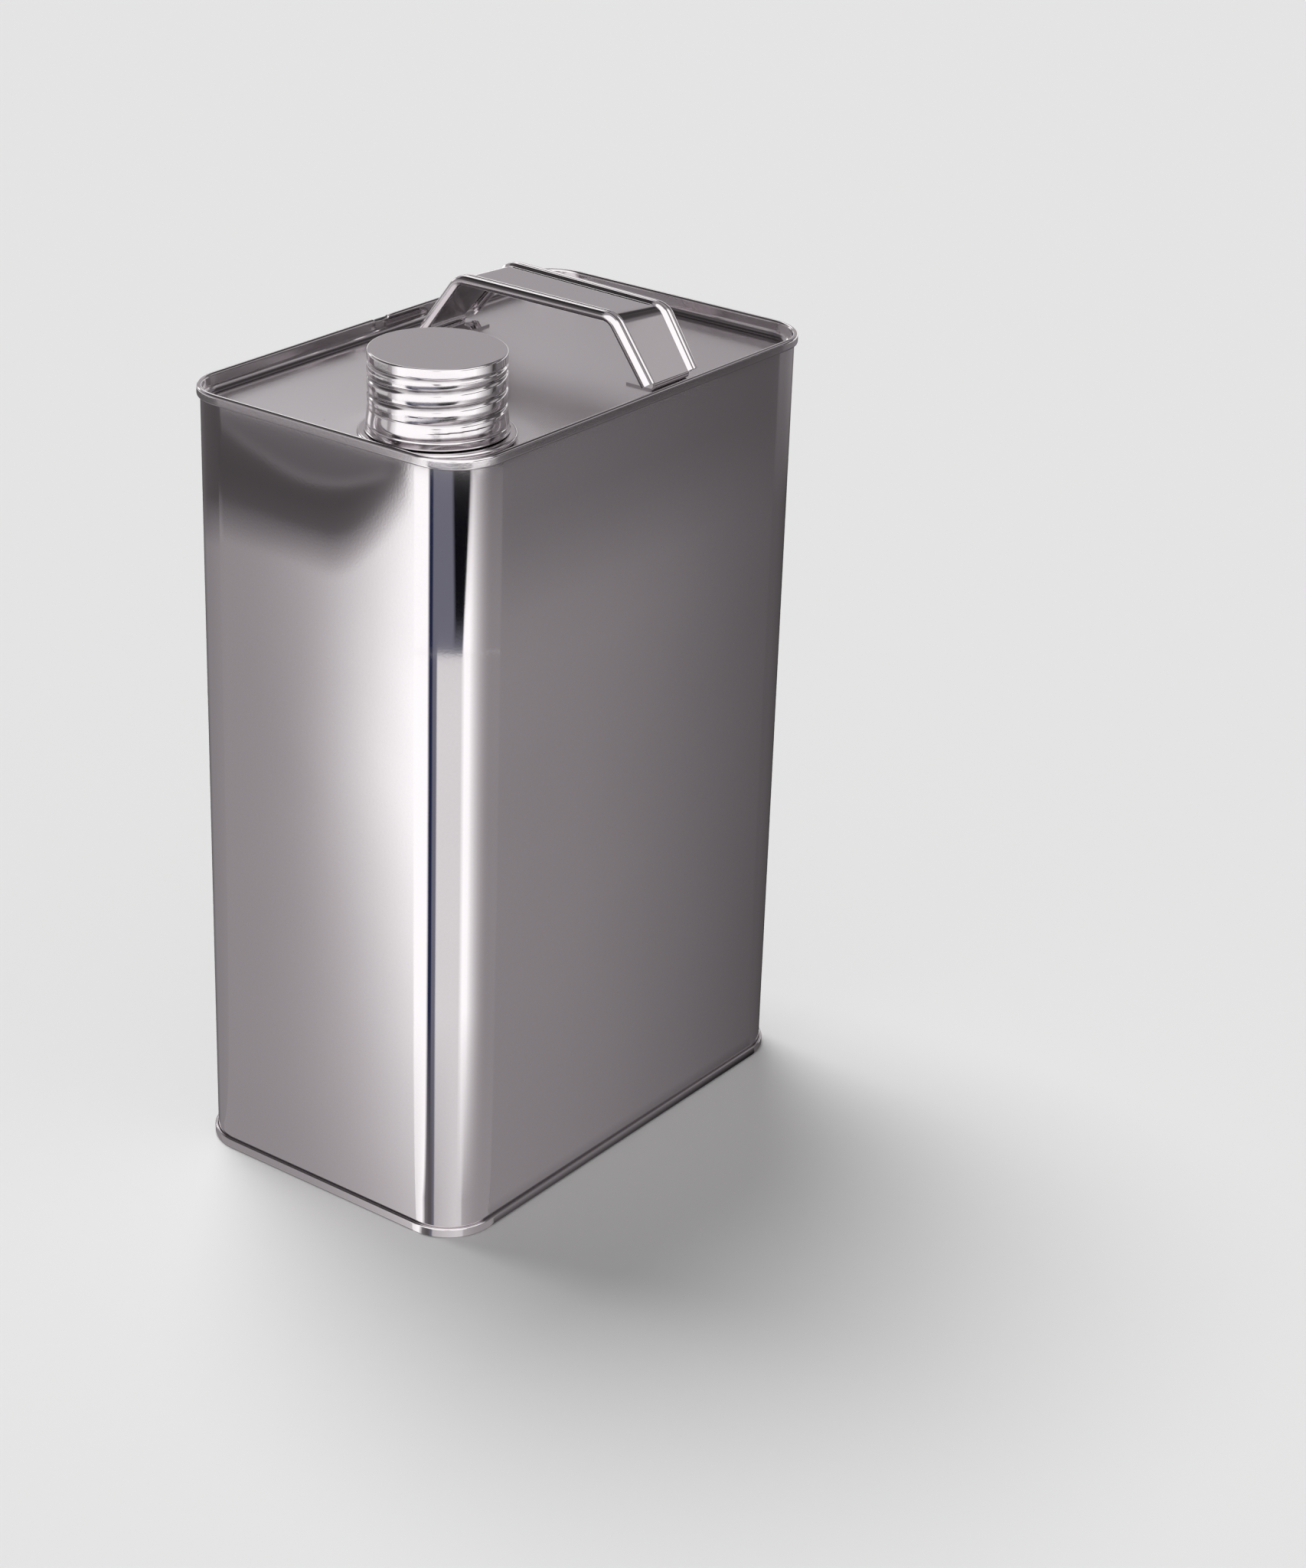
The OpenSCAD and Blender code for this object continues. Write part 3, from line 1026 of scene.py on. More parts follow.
@dataclass
class Neck(Piece):
    """The drawn neck: lip, rolled thread, folded flange and clinched collar.

    Attributes:
        bore_r: Inner radius.
        sheet: Thickness of the sheet.
        height: Height from the panel to the lip.
        flange_r: Radius of the flange.
        flange_h: Height of the flange.
        gasket: Thickness of the gasket between flange and panel.
        lip_to_thread: How far below the lip the thread starts.
        thread_h: How far the thread stands out.
        thread_w: Width of the thread at its foot.
        turns: Turns of the thread.
        shoulder_r: Radius of the bend between wall and flange.
        bend_r: Radius of the bends below the flange and above the collar.
        collar_w: Width of the collar.
        collar_gap: Gap between the panel and the collar.
        columns: Columns of faces round the neck.
        row: Greatest height of a row of faces of the wall.
    """

    bore_r: float = 17.3 * MM
    sheet: float = 0.3 * MM
    height: float = 23.6 * MM
    flange_r: float = 21.9 * MM
    flange_h: float = 1.8 * MM
    gasket: float = 0.5 * MM
    lip_to_thread: float = 2.3 * MM
    thread_h: float = 0.75 * MM
    thread_w: float = 2.6 * MM
    turns: float = 3.25
    shoulder_r: float = 1.2 * MM
    bend_r: float = 0.5 * MM
    collar_w: float = 2.25 * MM
    collar_gap: float = 0.1 * MM
    columns: int = 180
    row: float = 0.25 * MM

    def build(self) -> bpy.types.Object:
        """Builds and dresses the neck."""
        sizes = self.sizes
        middle = self.bore_r + self.sheet / 2
        lip_z = sizes.panel_z + self.height
        flange_z = sizes.panel_z + self.gasket
        fold = (self.flange_h - self.sheet) / 2
        bend = self.bend_r
        collar_z = sizes.panel_z - sizes.seam.tin - self.collar_gap - self.sheet / 2
        shoulder = self.shoulder_r
        shoulder_z = flange_z + self.flange_h - self.sheet / 2 + shoulder
        upper = arc((middle + shoulder, shoulder_z), shoulder, 180, 270, 8)
        path = [
            *divided([(middle, lip_z), upper[0]], self.row)[:-1],
            *upper,
            *arc((self.flange_r - self.sheet / 2 - fold, flange_z + self.flange_h / 2), fold, 90, -90, 14),
            *arc((middle + bend, flange_z + self.sheet / 2 - bend), bend, 90, 180, 6),
            *arc((middle + bend, collar_z + bend), bend, 180, 270, 6),
            (self.bore_r + self.sheet + self.collar_w, collar_z),
        ]
        path = held(path)
        outline = sheet_outline(path, self.sheet)
        helix = Helix(lip_z - self.lip_to_thread, self.turns, self.thread_h, self.thread_w)
        wall_rows = path.index(upper[0])
        count = len(outline)

        def push(k: int, degrees: float, height: float) -> float:
            """Thread of the wall's rows, on both faces of the sheet."""
            on_wall = min(k, count - 1 - k) < wall_rows
            return helix.rise(degrees, height) if on_wall else 0.0

        draft = Draft()
        revolved(draft, (sizes.neck_x, sizes.neck_y), outline, self.columns, push)
        return self.dress(draft.to_object("can_neck"), "neck", "can", Slot.NECK)


@dataclass(frozen=True)
class RingGroove:
    """A groove rolled straight round the cap.

    Attributes:
        below_top: Distance of its middle below the cap's top.
        depth: Its depth.
        half_width: Half its width.
    """

    below_top: float
    depth: float
    half_width: float

    def rise(self, down: float) -> float:
        """How far the wall moves outwards at a distance below the top."""
        away = abs(down - self.below_top) / self.half_width
        return -self.depth * (1 + math.cos(math.pi * away)) / 2 if away < 1 else 0.0


@dataclass
class ScrewCap(Piece):
    """The drawn cap: flat top, ring grooves, rolled thread and hemmed lower edge.

    Attributes:
        outer_r: Outer radius of the skirt.
        sheet: Thickness of the sheet.
        depth: Height of the cap.
        edge_r: Outer radius of the corner between top and skirt.
        grooves: The grooves rolled straight round the skirt.
        thread: The rolled thread, with its height from the cap's top.
        curl: Radius of the hem at the lower edge.
        flare: How far the skirt's lower end is opened out.
        flare_from: Depth below the top at which the flare starts.
        flare_over: Height over which it grows.
        crown_hole: Radius of the middle of the top that one face closes.
        columns: Columns of faces round the cap.
        crown_row: Greatest width of a ring of faces of the top.
        row: Greatest height of a row of faces of the skirt.
    """

    outer_r: float = 19.1 * MM
    sheet: float = 0.35 * MM
    depth: float = 22.5 * MM
    edge_r: float = 0.55 * MM
    grooves: tuple[RingGroove, ...] = (
        RingGroove(3.3 * MM, 0.3 * MM, 0.75 * MM),
        RingGroove(15.6 * MM, 0.1 * MM, 0.4 * MM),
        RingGroove(20.2 * MM, 0.16 * MM, 0.5 * MM),
    )
    thread: Helix = Helix(top=-4.625 * MM, turns=2.5, height=-0.5 * MM, width=2.1 * MM, azimuth=370.0,
                          bulge=0.06 * MM)
    curl: float = 0.2 * MM
    flare: float = 0.45 * MM
    flare_from: float = 15.6 * MM
    flare_over: float = 5.4 * MM
    crown_hole: float = 0.02 * MM
    columns: int = 216
    crown_row: float = 1.5 * MM
    row: float = 0.15 * MM

    def build(self) -> bpy.types.Object:
        """Builds and dresses the cap."""
        _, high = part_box("screw_cap")
        top = high.z
        middle = self.outer_r - self.sheet / 2
        edge = self.edge_r - self.sheet / 2
        low = top - self.depth + self.sheet / 2 + self.curl
        corner = arc((middle - edge, top - self.sheet / 2 - edge), edge, 90, 0, 10)
        hem = arc((middle + self.curl, low), self.curl, 180, 350, 10)
        wall = divided([corner[-1], hem[0]], self.row)
        crown = divided([(self.crown_hole, top - self.sheet / 2), corner[0]], self.crown_row)
        path = held([*crown[:-1], *corner, *wall[1:-1], *hem])
        outline = sheet_outline(path, self.sheet)
        first_wall, last_wall = path.index(corner[-1]), path.index(hem[0])
        count = len(outline)

        def push(k: int, degrees: float, height: float) -> float:
            """Flare, ring grooves and thread of the skirt's rows, on both faces of the sheet."""
            flare = self.flare * smooth((top - height - self.flare_from) / self.flare_over)
            if not first_wall <= min(k, count - 1 - k) <= last_wall:
                return flare
            rings = sum(groove.rise(top - height) for groove in self.grooves)
            return flare + rings + self.thread.rise(degrees, height - top)

        draft = Draft()
        revolved(draft, (self.sizes.neck_x, self.sizes.neck_y), outline, self.columns, push)
        return self.dress(draft.to_object("can_cap"), "screw_cap", "cap", Slot.CAP)


@dataclass(frozen=True)
class Stroke:
    """One stretch of a sheet's section: a straight length, or a bend of a radius and an angle.

    Attributes:
        length: Length of a straight stretch.
        radius: Radius of a bend.
        turn: How far a bend turns, in degrees, to the left where positive.
    """

    length: float = 0.0
    radius: float = 0.0
    turn: float = 0.0


def drawn(start: Pair, strokes: Sequence[Stroke], step: float = 6.0) -> list[Pair]:
    """Follows strokes from a point, heading first along the section's first axis.

    Args:
        start: First point.
        strokes: The stretches in order. A turn is in degrees, to the left where positive.
        step: Greatest turn between neighbouring points, in degrees.

    Returns:
        The points passed.
    """
    points = [start]
    heading = 0.0
    for stroke in strokes:
        parts = max(1, math.ceil(abs(stroke.turn) / step)) if stroke.turn else 4
        side = math.copysign(1.0, stroke.turn)
        for _ in range(parts):
            turn = math.radians(stroke.turn / parts)
            chord = 2 * stroke.radius * math.sin(abs(turn) / 2) if stroke.turn else stroke.length / parts
            way = heading + turn / 2
            x, y = points[-1]
            points.append((x + chord * math.cos(way), y + chord * math.sin(way)))
            heading += turn
    return points


@dataclass
class StrapHandle(Piece):
    """The strap with rolled edges, bent to an arch, and its two welded tongues.

    Attributes:
        sheet: Thickness of the sheet.
        width: Width of the strap over its rolled edges.
        rise: Height of the arch over the panel.
        foot_y: Distance of each foot from the can's middle.
        bend_r: Radius of the two bends at the top.
        skew: How far the top is pushed to the front, for each metre from the strap's left edge.
        sag: How much lower the strap's right edge lies at the front.
        sag_span: Length of the arch, from front to back, over which the sag fades out.
        under_painted_shade: Amount of painted shade on the underside, where shade falls under the arch.
        foot_bend_r: Radius of the bend between a leg and its tongue.
        tongue_l: Length of a tongue.
        tongue_w: Width of a tongue.
        tongue_columns: Columns of faces across a tongue.
        tongue_row: Greatest length of a row of its faces.
        weld_r: Radius of the dent of a spot weld.
        weld_depth: Depth of that dent.
        edge: Section of half the strap, from its middle to the end of the rolled edge.
    """

    sheet: float = 0.6 * MM
    width: float = 24.6 * MM
    rise: float = 20.2 * MM
    foot_y: float = 43.0 * MM
    bend_r: float = 6.0 * MM
    skew: float = 0.12
    sag: float = 1.3 * MM
    sag_span: float = 54.0 * MM
    under_painted_shade: float = 0.45
    foot_bend_r: float = 1.2 * MM
    tongue_l: float = 11.0 * MM
    tongue_w: float = 16.5 * MM
    tongue_columns: int = 34
    tongue_row: float = 0.5 * MM
    weld_r: float = 1.9 * MM
    weld_depth: float = 0.3 * MM
    edge: tuple[Stroke, ...] = (
        Stroke(length=7.7 * MM),
        Stroke(radius=0.9 * MM, turn=45),
        Stroke(length=0.6 * MM),
        Stroke(radius=0.5 * MM, turn=-70),
        Stroke(length=0.25 * MM),
        Stroke(radius=0.5 * MM, turn=50),
        Stroke(radius=1.7 * MM, turn=-70),
        Stroke(radius=1.1 * MM, turn=-150),
    )

    def section(self) -> list[Pair]:
        """Outline of the strap across its width, with both edges rolled."""
        right = drawn((0.0, 0.0), self.edge)
        left = [(-x, y) for x, y in right[:0:-1]]
        return sheet_outline(held(left + right), self.sheet)

    def line(self) -> list[tuple[float, float, float]]:
        """The strap's middle from its top to a foot, as Y, height and lean."""
        # A leg that rises 4 goes 3 along and is 5 long.
        leg_rise = self.rise - self.sheet
        flat_y = self.foot_y - leg_rise * 3 / 4 - self.bend_r / 2
        top_z = self.rise - self.sheet / 2
        found = [(flat_y * i / 12, top_z, 0.0) for i in range(12)]
        for i in range(13):
            a = LEG_SLOPE * i / 12
            found.append((flat_y + self.bend_r * math.sin(a), top_z - self.bend_r * (1 - math.cos(a)), a))
        leg = leg_rise * 5 / 4 - self.bend_r / 2 - self.foot_bend_r * 2
        y, z, _ = found[-1]
        for i in range(1, 9):
            go = leg * i / 8
            found.append((y + go * math.cos(LEG_SLOPE), z - go * math.sin(LEG_SLOPE), LEG_SLOPE))
        return found

    def strap(self, draft: Draft, x: float, base: float) -> None:
        """Adds the arch, from foot to foot.

        Args:
            draft: Where the points and faces go.
            x: Place of the strap's middle.
            base: Height of the panel.
        """
        half = self.line()
        section = self.section()
        flat = self.edge[0].length
        under = [float(abs(u) < flat and k > len(section) / 2) for k, (u, _) in enumerate(section)]
        # Painted shade on the underside of the strap's flat.
        painted_shade = [self.under_painted_shade * k for k in under]
        rings = []
        for y, z, lean in [(-y, z, -lean) for y, z, lean in half[:0:-1]] + half:
            up = Vector((0, math.sin(lean), math.cos(lean)))
            centre = Vector((x, y, base + z))
            share = z / self.rise
            front = min(1.0, max(0.0, 0.5 - y / self.sag_span))
            slip = Vector((0, -self.skew * share, -self.sag * share * front / self.width))
            row = [centre + Vector((u, 0, 0)) + up * v + slip * (u + self.width / 2) for u, v in section]
            rings.append(draft.ring(row, painted_shade, under))
        draft.skin(rings)
        draft.lid(rings[0])
        draft.lid(rings[-1][::-1])

    def tongue(self, draft: Draft, x: float, base: float, side: int) -> None:
        """Adds the foot bend and the tongue that is turned in under the arch.

        Args:
            draft: Where the points and faces go.
            x: Place of the strap's middle.
            base: Height of the panel.
            side: 1 for the back foot and -1 for the front foot.
        """
        hub_y = self.foot_y - self.foot_bend_r * 2
        hub_z = self.sheet / 2 + self.foot_bend_r
        start = (self.foot_y - self.tongue_l, self.sheet / 2)
        path = divided([start, (hub_y, self.sheet / 2)], self.tongue_row)[:-1]
        path += arc((hub_y, hub_z), self.foot_bend_r, -90, 90 - math.degrees(LEG_SLOPE), 12)
        path = held(path)
        outline = sheet_outline(path, self.sheet)
        welds_y = (self.foot_y - self.tongue_l + hub_y) / 2
        rows = []
        for i in range(self.tongue_columns + 1):
            across = (i / self.tongue_columns - 0.5) * self.tongue_w
            row = []
            for k, (y, z) in enumerate(outline):
                near = min(math.hypot(across - w * self.tongue_w / 4, y - welds_y) for w in (-1, 1))
                dent = self.weld_depth * (1 - smooth(near / self.weld_r)) if k < len(path) else 0.0
                row.append((x + across, side * y, base + z - dent))
            rows.append(draft.ring(row))
        for a, b in zip(rows, rows[1:]):
            draft.bridge(a, b)
        draft.lid(rows[0])
        draft.lid(rows[-1][::-1])

    def build(self) -> bpy.types.Object:
        """Builds and dresses the handle."""
        low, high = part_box("handle")
        x = (low.x + high.x) / 2
        draft = Draft()
        self.strap(draft, x, self.sizes.panel_z)
        for side in (-1, 1):
            self.tongue(draft, x, self.sizes.panel_z, side)
        return self.dress(draft.to_object("can_handle"), "handle", "can", Slot.HANDLE)


@dataclass
class InnerParts(Piece):
    """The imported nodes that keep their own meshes: seals that hardly show."""

    slots: tuple[tuple[str, Slot], ...] = (
        ("top_seam_compound", Slot.COMPOUND),
        ("bottom_seam_compound", Slot.COMPOUND),
        ("neck_gasket", Slot.GASKET),
        ("cap_liner", Slot.LINER),
    )

    def build(self) -> None:
        """Gives each node its finish."""
        for node, slot in self.slots:
            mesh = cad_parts[node].data
            mesh.materials.clear()
            mesh.materials.append(self.materials[slot])
            LOG.info("%s: kept, with finish %s", node, slot.value)


@dataclass
class Viewpoint:
    """The photograph's camera.

    Attributes:
        place: Where it stands.
        right: Direction of the picture's rows.
        down: Direction of the picture's columns.
        focal_px: Focal length, in pixels of the photo.
        height_px: Height of the photo.
        sensor_mm: Height of the sensor.
        near: Nearest distance that it shows.
        far: Farthest distance that it shows.
    """

    place: Triple = (-0.72034, -0.58101, 0.53454)
    right: Triple = (0.5997, -0.7994, 0.0321)
    down: Triple = (-0.3189, -0.2756, -0.9066)
    focal_px: float = 4384.0
    height_px: float = 2048.0
    sensor_mm: float = 36.0
    near: float = 0.05
    far: float = 60.0

    def build(self) -> bpy.types.Object:
        """Makes the camera."""
        data = bpy.data.cameras.new("photo_camera")
        data.sensor_width = self.sensor_mm
        data.lens = self.focal_px / self.height_px * self.sensor_mm
        data.clip_start = self.near
        data.clip_end = self.far
        camera = bpy.data.objects.new("photo_camera", data)
        up = -Vector(self.down).normalized()
        right = Vector(self.right).normalized()
        back = right.cross(up)
        turn = Matrix((right, up, back)).transposed()
        camera.matrix_world = Matrix.Translation(Vector(self.place)) @ turn.to_4x4()
        bpy.context.scene.collection.objects.link(camera)
        bpy.context.scene.camera = camera
        return camera


@dataclass(frozen=True)
class SkyPanel:
    """A soft-edged panel of the studio's sky, in degrees of direction.

    Attributes:
        azimuth: Direction of its middle, anticlockwise from +X.
        elevation: Height of its middle.
        half_width: Half its width.
        half_height: Half its height.
        level: Brightness.
        soft: Width of its edge.
    """

    azimuth: float
    elevation: float
    half_width: float
    half_height: float
    level: float
    soft: float = 5.0

    def cover(self, azimuth: float, elevation: float) -> float:
        """How much of the panel covers a direction, from 0 to 1."""
        turn = abs((azimuth - self.azimuth + 180) % 360 - 180)
        across = smooth((self.half_width - turn) / self.soft + 0.5)
        return across * smooth((self.half_height - abs(elevation - self.elevation)) / self.soft + 0.5)


DISPLAY_GAMMA = 2.2
# Share of the light that clean tinplate mirrors
MIRRORED = 0.7
# How a dark grey of the photo leans in red, green and blue
WARMTH = (0.035, -0.04, 0.005)


def greyish(level: float) -> Tone:
    """Tone of a level: a grey with a little red in it, which fades towards white."""
    warm = max(0.0, 1 - level)
    red, green, blue = (level * (1 + shift * warm) for shift in WARMTH)
    return red, green, blue


def shade(tone: float) -> Tone:
    """Colour of a card that clean metal shows as a grey tone from 0 to 255."""
    return greyish((tone / 255) ** DISPLAY_GAMMA / MIRRORED)


def shades(*stops: Pair) -> list[tuple[float, Tone]]:
    """Stops of grey, from directions in degrees and tones from 0 to 255."""
    return [(facing, shade(tone)) for facing, tone in stops]


def fade(start: float, end: float, high: float, low: float) -> list[tuple[float, Tone]]:
    """Stops that fall off quickly at first and then slowly.

    Args:
        start: Direction of the first stop, in degrees.
        end: Direction of the last stop.
        high: Level at the first stop.
        low: Level at the last stop.

    Returns:
        The stops, each a direction and a tone.
    """
    shares = spread(0, 1, 8)
    return [(start + (end - start) * t, greyish(low + (high - low) * (1 - t) ** 3)) for t in shares]


def spread(first: float, last: float, parts: int) -> list[float]:
    """Evenly spaced numbers, from the first to the last."""
    return [first + (last - first) * i / parts for i in range(parts + 1)]


def direction(azimuth: float, elevation: float) -> Vector:
    """Direction that is so many degrees round from +X and so many degrees high."""
    turn, rise = math.radians(azimuth), math.radians(elevation)
    return Vector((math.cos(turn) * math.cos(rise), math.sin(turn) * math.cos(rise), math.sin(rise)))


@dataclass
class Studio:
    """Plain pale floor, soft light, and the cards that give the metal something to mirror.

    The cards lie on the floor round the can, and a dome of soft panels stands over it. They
    show in the metal alone, and neither light the can nor shade it. Their levels and tones were
    set beside the photo.

    Attributes:
        sizes: Sizes of the can.
        eye: Place of the camera, which the cards are laid out for.
        floor_half: Half the width of the floor.
        floor_tone: Its colour.
        floor_roughness: Its roughness.
        sky_tone: Colour of the light from all round.
        sky_strength: Its strength.
        sun_strength: Strength of the lamp.
        sun_azimuth: Direction of the lamp, in degrees anticlockwise from +X.
        sun_elevation: Its height, in degrees.
        sun_angle: How broad it looks, in degrees.
        sun_away: Distance at which its object stands.
        lift: Spacing between cards that lie over one another.
        fan_step: Greatest width of a face of a fan, in degrees that the edge turns.
        near_end: Distance from an upright edge at which its cards begin.
        far_end: Distance at which the farthest of them ends.
        dome_r: Radius of the dome.
        dome_base: Level of the dome between its panels.
        panels: The dome's panels; a later one covers those before it.
    """

    sizes: CanSizes
    eye: Vector
    floor_half: float = 12.0
    floor_tone: Tone = (0.785, 0.785, 0.785)
    floor_roughness: float = 0.9
    sky_tone: Tone = (0.78, 0.78, 0.78)
    sky_strength: float = 0.44
    sun_strength: float = 2.3
    sun_azimuth: float = 72.0
    sun_elevation: float = 62.0
    sun_angle: float = 34.0
    sun_away: float = 2.0
    lift: float = 0.1 * MM
    fan_step: float = 1.5
    near_end: float = 0.5 * MM
    far_end: float = 2.9
    dome_r: float = 3.0
    dome_base: float = 0.4
    panels: tuple[SkyPanel, ...] = (
        SkyPanel(36, 30, 46, 24, 0.45, 8),
        SkyPanel(88, 53, 34, 14, 0.04, 6),
        SkyPanel(122, 38, 24, 14, 0.1, 5),
        SkyPanel(51, 37, 12, 9, 1.6, 3),
        SkyPanel(2, 45, 30, 9, 0.05, 4),
        SkyPanel(216, 38, 66, 60, 1.45, 10),
        SkyPanel(262, 40, 50, 20, 1.5, 8),
        SkyPanel(218, 6, 6, 9, 0.4, 5),
        SkyPanel(285, 8, 28, 12, 0.12, 5),
        SkyPanel(335, 30, 30, 13, 0.2, 4),
        SkyPanel(328, 30, 10, 6, 0.56, 3),
        SkyPanel(322, 10, 22, 12, 0.12, 4),
        SkyPanel(20, 3, 40, 7, 1.3, 3),
        SkyPanel(81, 17, 6, 6, 2.4, 3),
    )

    def card(self, name: str, rows: Sequence[Sequence[tuple[Vector, Tone]]]) -> bpy.types.Object:
        """Makes a card that only mirrors see.

        Args:
            name: Name of the card.
            rows: Rows of points, each with the tone that the card glows in there.

        Returns:
            The card.
        """
        mesh = bpy.data.meshes.new(name)
        width = len(rows[0])
        corners = [corner for row in rows for corner in row]
        faces = []
        for r in range(len(rows) - 1):
            faces += [(i, i + 1, i + 1 + width, i + width) for i in range(r * width, (r + 1) * width - 1)]
        mesh.from_pydata([tuple(place) for place, _ in corners], [], faces)
        tones = mesh.color_attributes.new("tone", "FLOAT_COLOR", "POINT")
        for place, (_, tone) in zip(tones.data, corners):
            place.color = (*tone, 1)
        made, graph, _ = surfaced(name)
        made.node_tree.nodes.clear()
        colour = graph.add("ShaderNodeVertexColor", layer_name="tone")["Color"]
        glow = graph.add("ShaderNodeEmission", {"Color": colour})[0]
        graph.add("ShaderNodeOutputMaterial", {"Surface": glow})
        mesh.materials.append(made)
        card = bpy.data.objects.new(name, mesh)
        bpy.context.scene.collection.objects.link(card)
        card.visible_camera = False
        card.visible_diffuse = False
        card.visible_shadow = False
        return card

    def wall_card(self, name: str, wall: int, rows: Sequence[Sequence[tuple[float, float, Tone]]],
                  lift: float) -> None:
        """Lays a card that the camera sees mirrored in a near wall.

        Args:
            name: Name of the card.
            wall: 0 for the narrow wall, which faces -X, and 1 for the broad one, which faces -Y.
            rows: Rows of places: how far along the wall and how high, in millimetres, with the tone.
            lift: How many times the cards' spacing it lies over the floor.
        """
        laid = []
        for row in rows:
            laid.append([(self.seen_in_wall(wall, *spot, lift), tone) for *spot, tone in row])
        self.card(name, laid)

    def seen_in_wall(self, wall: int, along: float, height: float, lift: float) -> Vector:
        """Finds what the camera sees mirrored at a place of a near wall.

        Args:
            wall: 0 for the narrow wall and 1 for the broad one.
            along: How far along the wall the place is, in millimetres.
            height: How high it is, in millimetres.
            lift: How many times the cards' spacing the card lies over the floor.

        Returns:
            The place on the floor, at the card's height.
        """
        spot = Vector((along * MM, along * MM))
        spot[wall] = -(self.sizes.half_x, self.sizes.half_y)[wall]
        way = spot - self.eye.xy
        way[wall] *= -1
        found = spot + way * (height * MM / (self.eye.z - height * MM))
        return Vector((found.x, found.y, lift * self.lift))

    def fan(self, name: str, hub: Pair, rows: Sequence[tuple[float, Stops]], lift: float) -> None:
        """Lays a fan-shaped card that the camera sees mirrored in a rounded upright edge.

        Args:
            name: Name of the card.
            hub: Axis of the edge.
            rows: Distances from the edge's surface, each with its stops: directions in degrees
                that the surface faces, with their tones. Every row has as many stops.
            lift: How many times the cards' spacing it lies over the floor.
        """
        turns = [[facing for facing, _ in stops] for _, stops in rows]
        widths = [max(row[k + 1] - row[k] for row in turns) for k in range(len(turns[0]) - 1)]
        parts = [max(1, math.ceil(width / self.fan_step)) for width in widths]
        rings = []
        for distance, stops in rows:
            ring = []
            for (a, tone_a), (b, tone_b), count in zip(stops, stops[1:], parts):
                for share in spread(0, 1, count)[:-1]:
                    tone = tuple(x + (y - x) * share for x, y in zip(tone_a, tone_b))
                    ring.append((self.seen_in_edge(hub, a + (b - a) * share, distance, lift), tone))
            facing, tone = stops[-1]
            ring.append((self.seen_in_edge(hub, facing, distance, lift), tone))
            rings.append(ring)
        self.card(name, rings)

    def seen_in_edge(self, hub: Pair, facing: float, distance: float, lift: float) -> Vector:
        """Finds what the camera sees mirrored in a rounded upright edge.

        Args:
            hub: Axis of the edge.
            facing: Direction that its surface faces, in degrees.
            distance: How far the floor's place is from the surface.
            lift: How many times the cards' spacing the card lies over the floor.

        Returns:
            The place on the floor, at the card's height.
        """
        out = direction(facing, 0)
        toward = math.degrees(math.atan2(self.eye.y - hub[1], self.eye.x - hub[0]))
        ray = direction(2 * facing - toward, 0)
        return Vector((*hub, lift * self.lift)) + out * self.sizes.corner_r + ray * distance

    def reach(self, hub: Pair, height: float) -> float:
        """Distance from an upright edge to the floor that it shows at a height in millimetres."""
        away = math.hypot(self.eye.x - hub[0], self.eye.y - hub[1]) - self.sizes.corner_r
        return height * MM * away / (self.eye.z - height * MM)

    def floor(self) -> None:
        """Makes the pale floor."""
        mesh = bpy.data.meshes.new("floor")
        half = self.floor_half
        mesh.from_pydata([(-half, -half, 0), (half, -half, 0), (half, half, 0), (-half, half, 0)], [],
                         [(0, 1, 2, 3)])
        made, graph, shader = surfaced("pale_floor")
        graph.feed(shader, {"Base Color": (*self.floor_tone, 1), "Roughness": self.floor_roughness,
                            "Specular IOR Level": 0.0})
        mesh.materials.append(made)
        obj = bpy.data.objects.new("floor", mesh)
        bpy.context.scene.collection.objects.link(obj)

    def lights(self) -> None:
        """Sets an even pale sky and one broad lamp, high behind the can's left."""
        world = bpy.data.worlds.new("studio")
        bpy.context.scene.world = world
        world.use_nodes = True
        back = world.node_tree.nodes["Background"]
        Graph(world.node_tree).feed(back, {"Color": (*self.sky_tone, 1), "Strength": self.sky_strength})
        data = bpy.data.lights.new("key", "SUN")
        data.energy = self.sun_strength
        data.angle = math.radians(self.sun_angle)
        lamp = bpy.data.objects.new("key", data)
        aim = direction(self.sun_azimuth, self.sun_elevation)
        lamp.location = aim * self.sun_away
        lamp.rotation_mode = "QUATERNION"
        lamp.rotation_quaternion = (-aim).to_track_quat("-Z", "Y")
        lamp.visible_glossy = False
        bpy.context.scene.collection.objects.link(lamp)

    def build(self) -> None:
        """Sets up the floor, the lights and the cards."""
        self.floor()
        self.lights()
        self.dome()
        self.left_cards()
        self.right_cards()
        self.near_cards()
        self.side_cards()

    def dome(self) -> None:
        """Stands the dome of soft panels over the can."""
        rows = []
        for elevation in [*range(0, 88, 2), 89.5]:
            row = []
            for azimuth in range(0, 363, 3):
                level = self.dome_base
                for panel in self.panels:
                    level += (panel.level - level) * panel.cover(azimuth, elevation)
                row.append((direction(azimuth, elevation) * self.dome_r, greyish(level)))
            rows.append(row)
        self.card("dome", rows)

    def seam_from(self) -> float:
        """Height at which the top seam starts, in millimetres."""
        return (self.sizes.top - self.sizes.seam.height) / MM

    def left_cards(self) -> None:
        """Lays the cards that the near narrow wall shows: its sheen, the rim's, and a dark arch."""
        seam = self.seam_from()
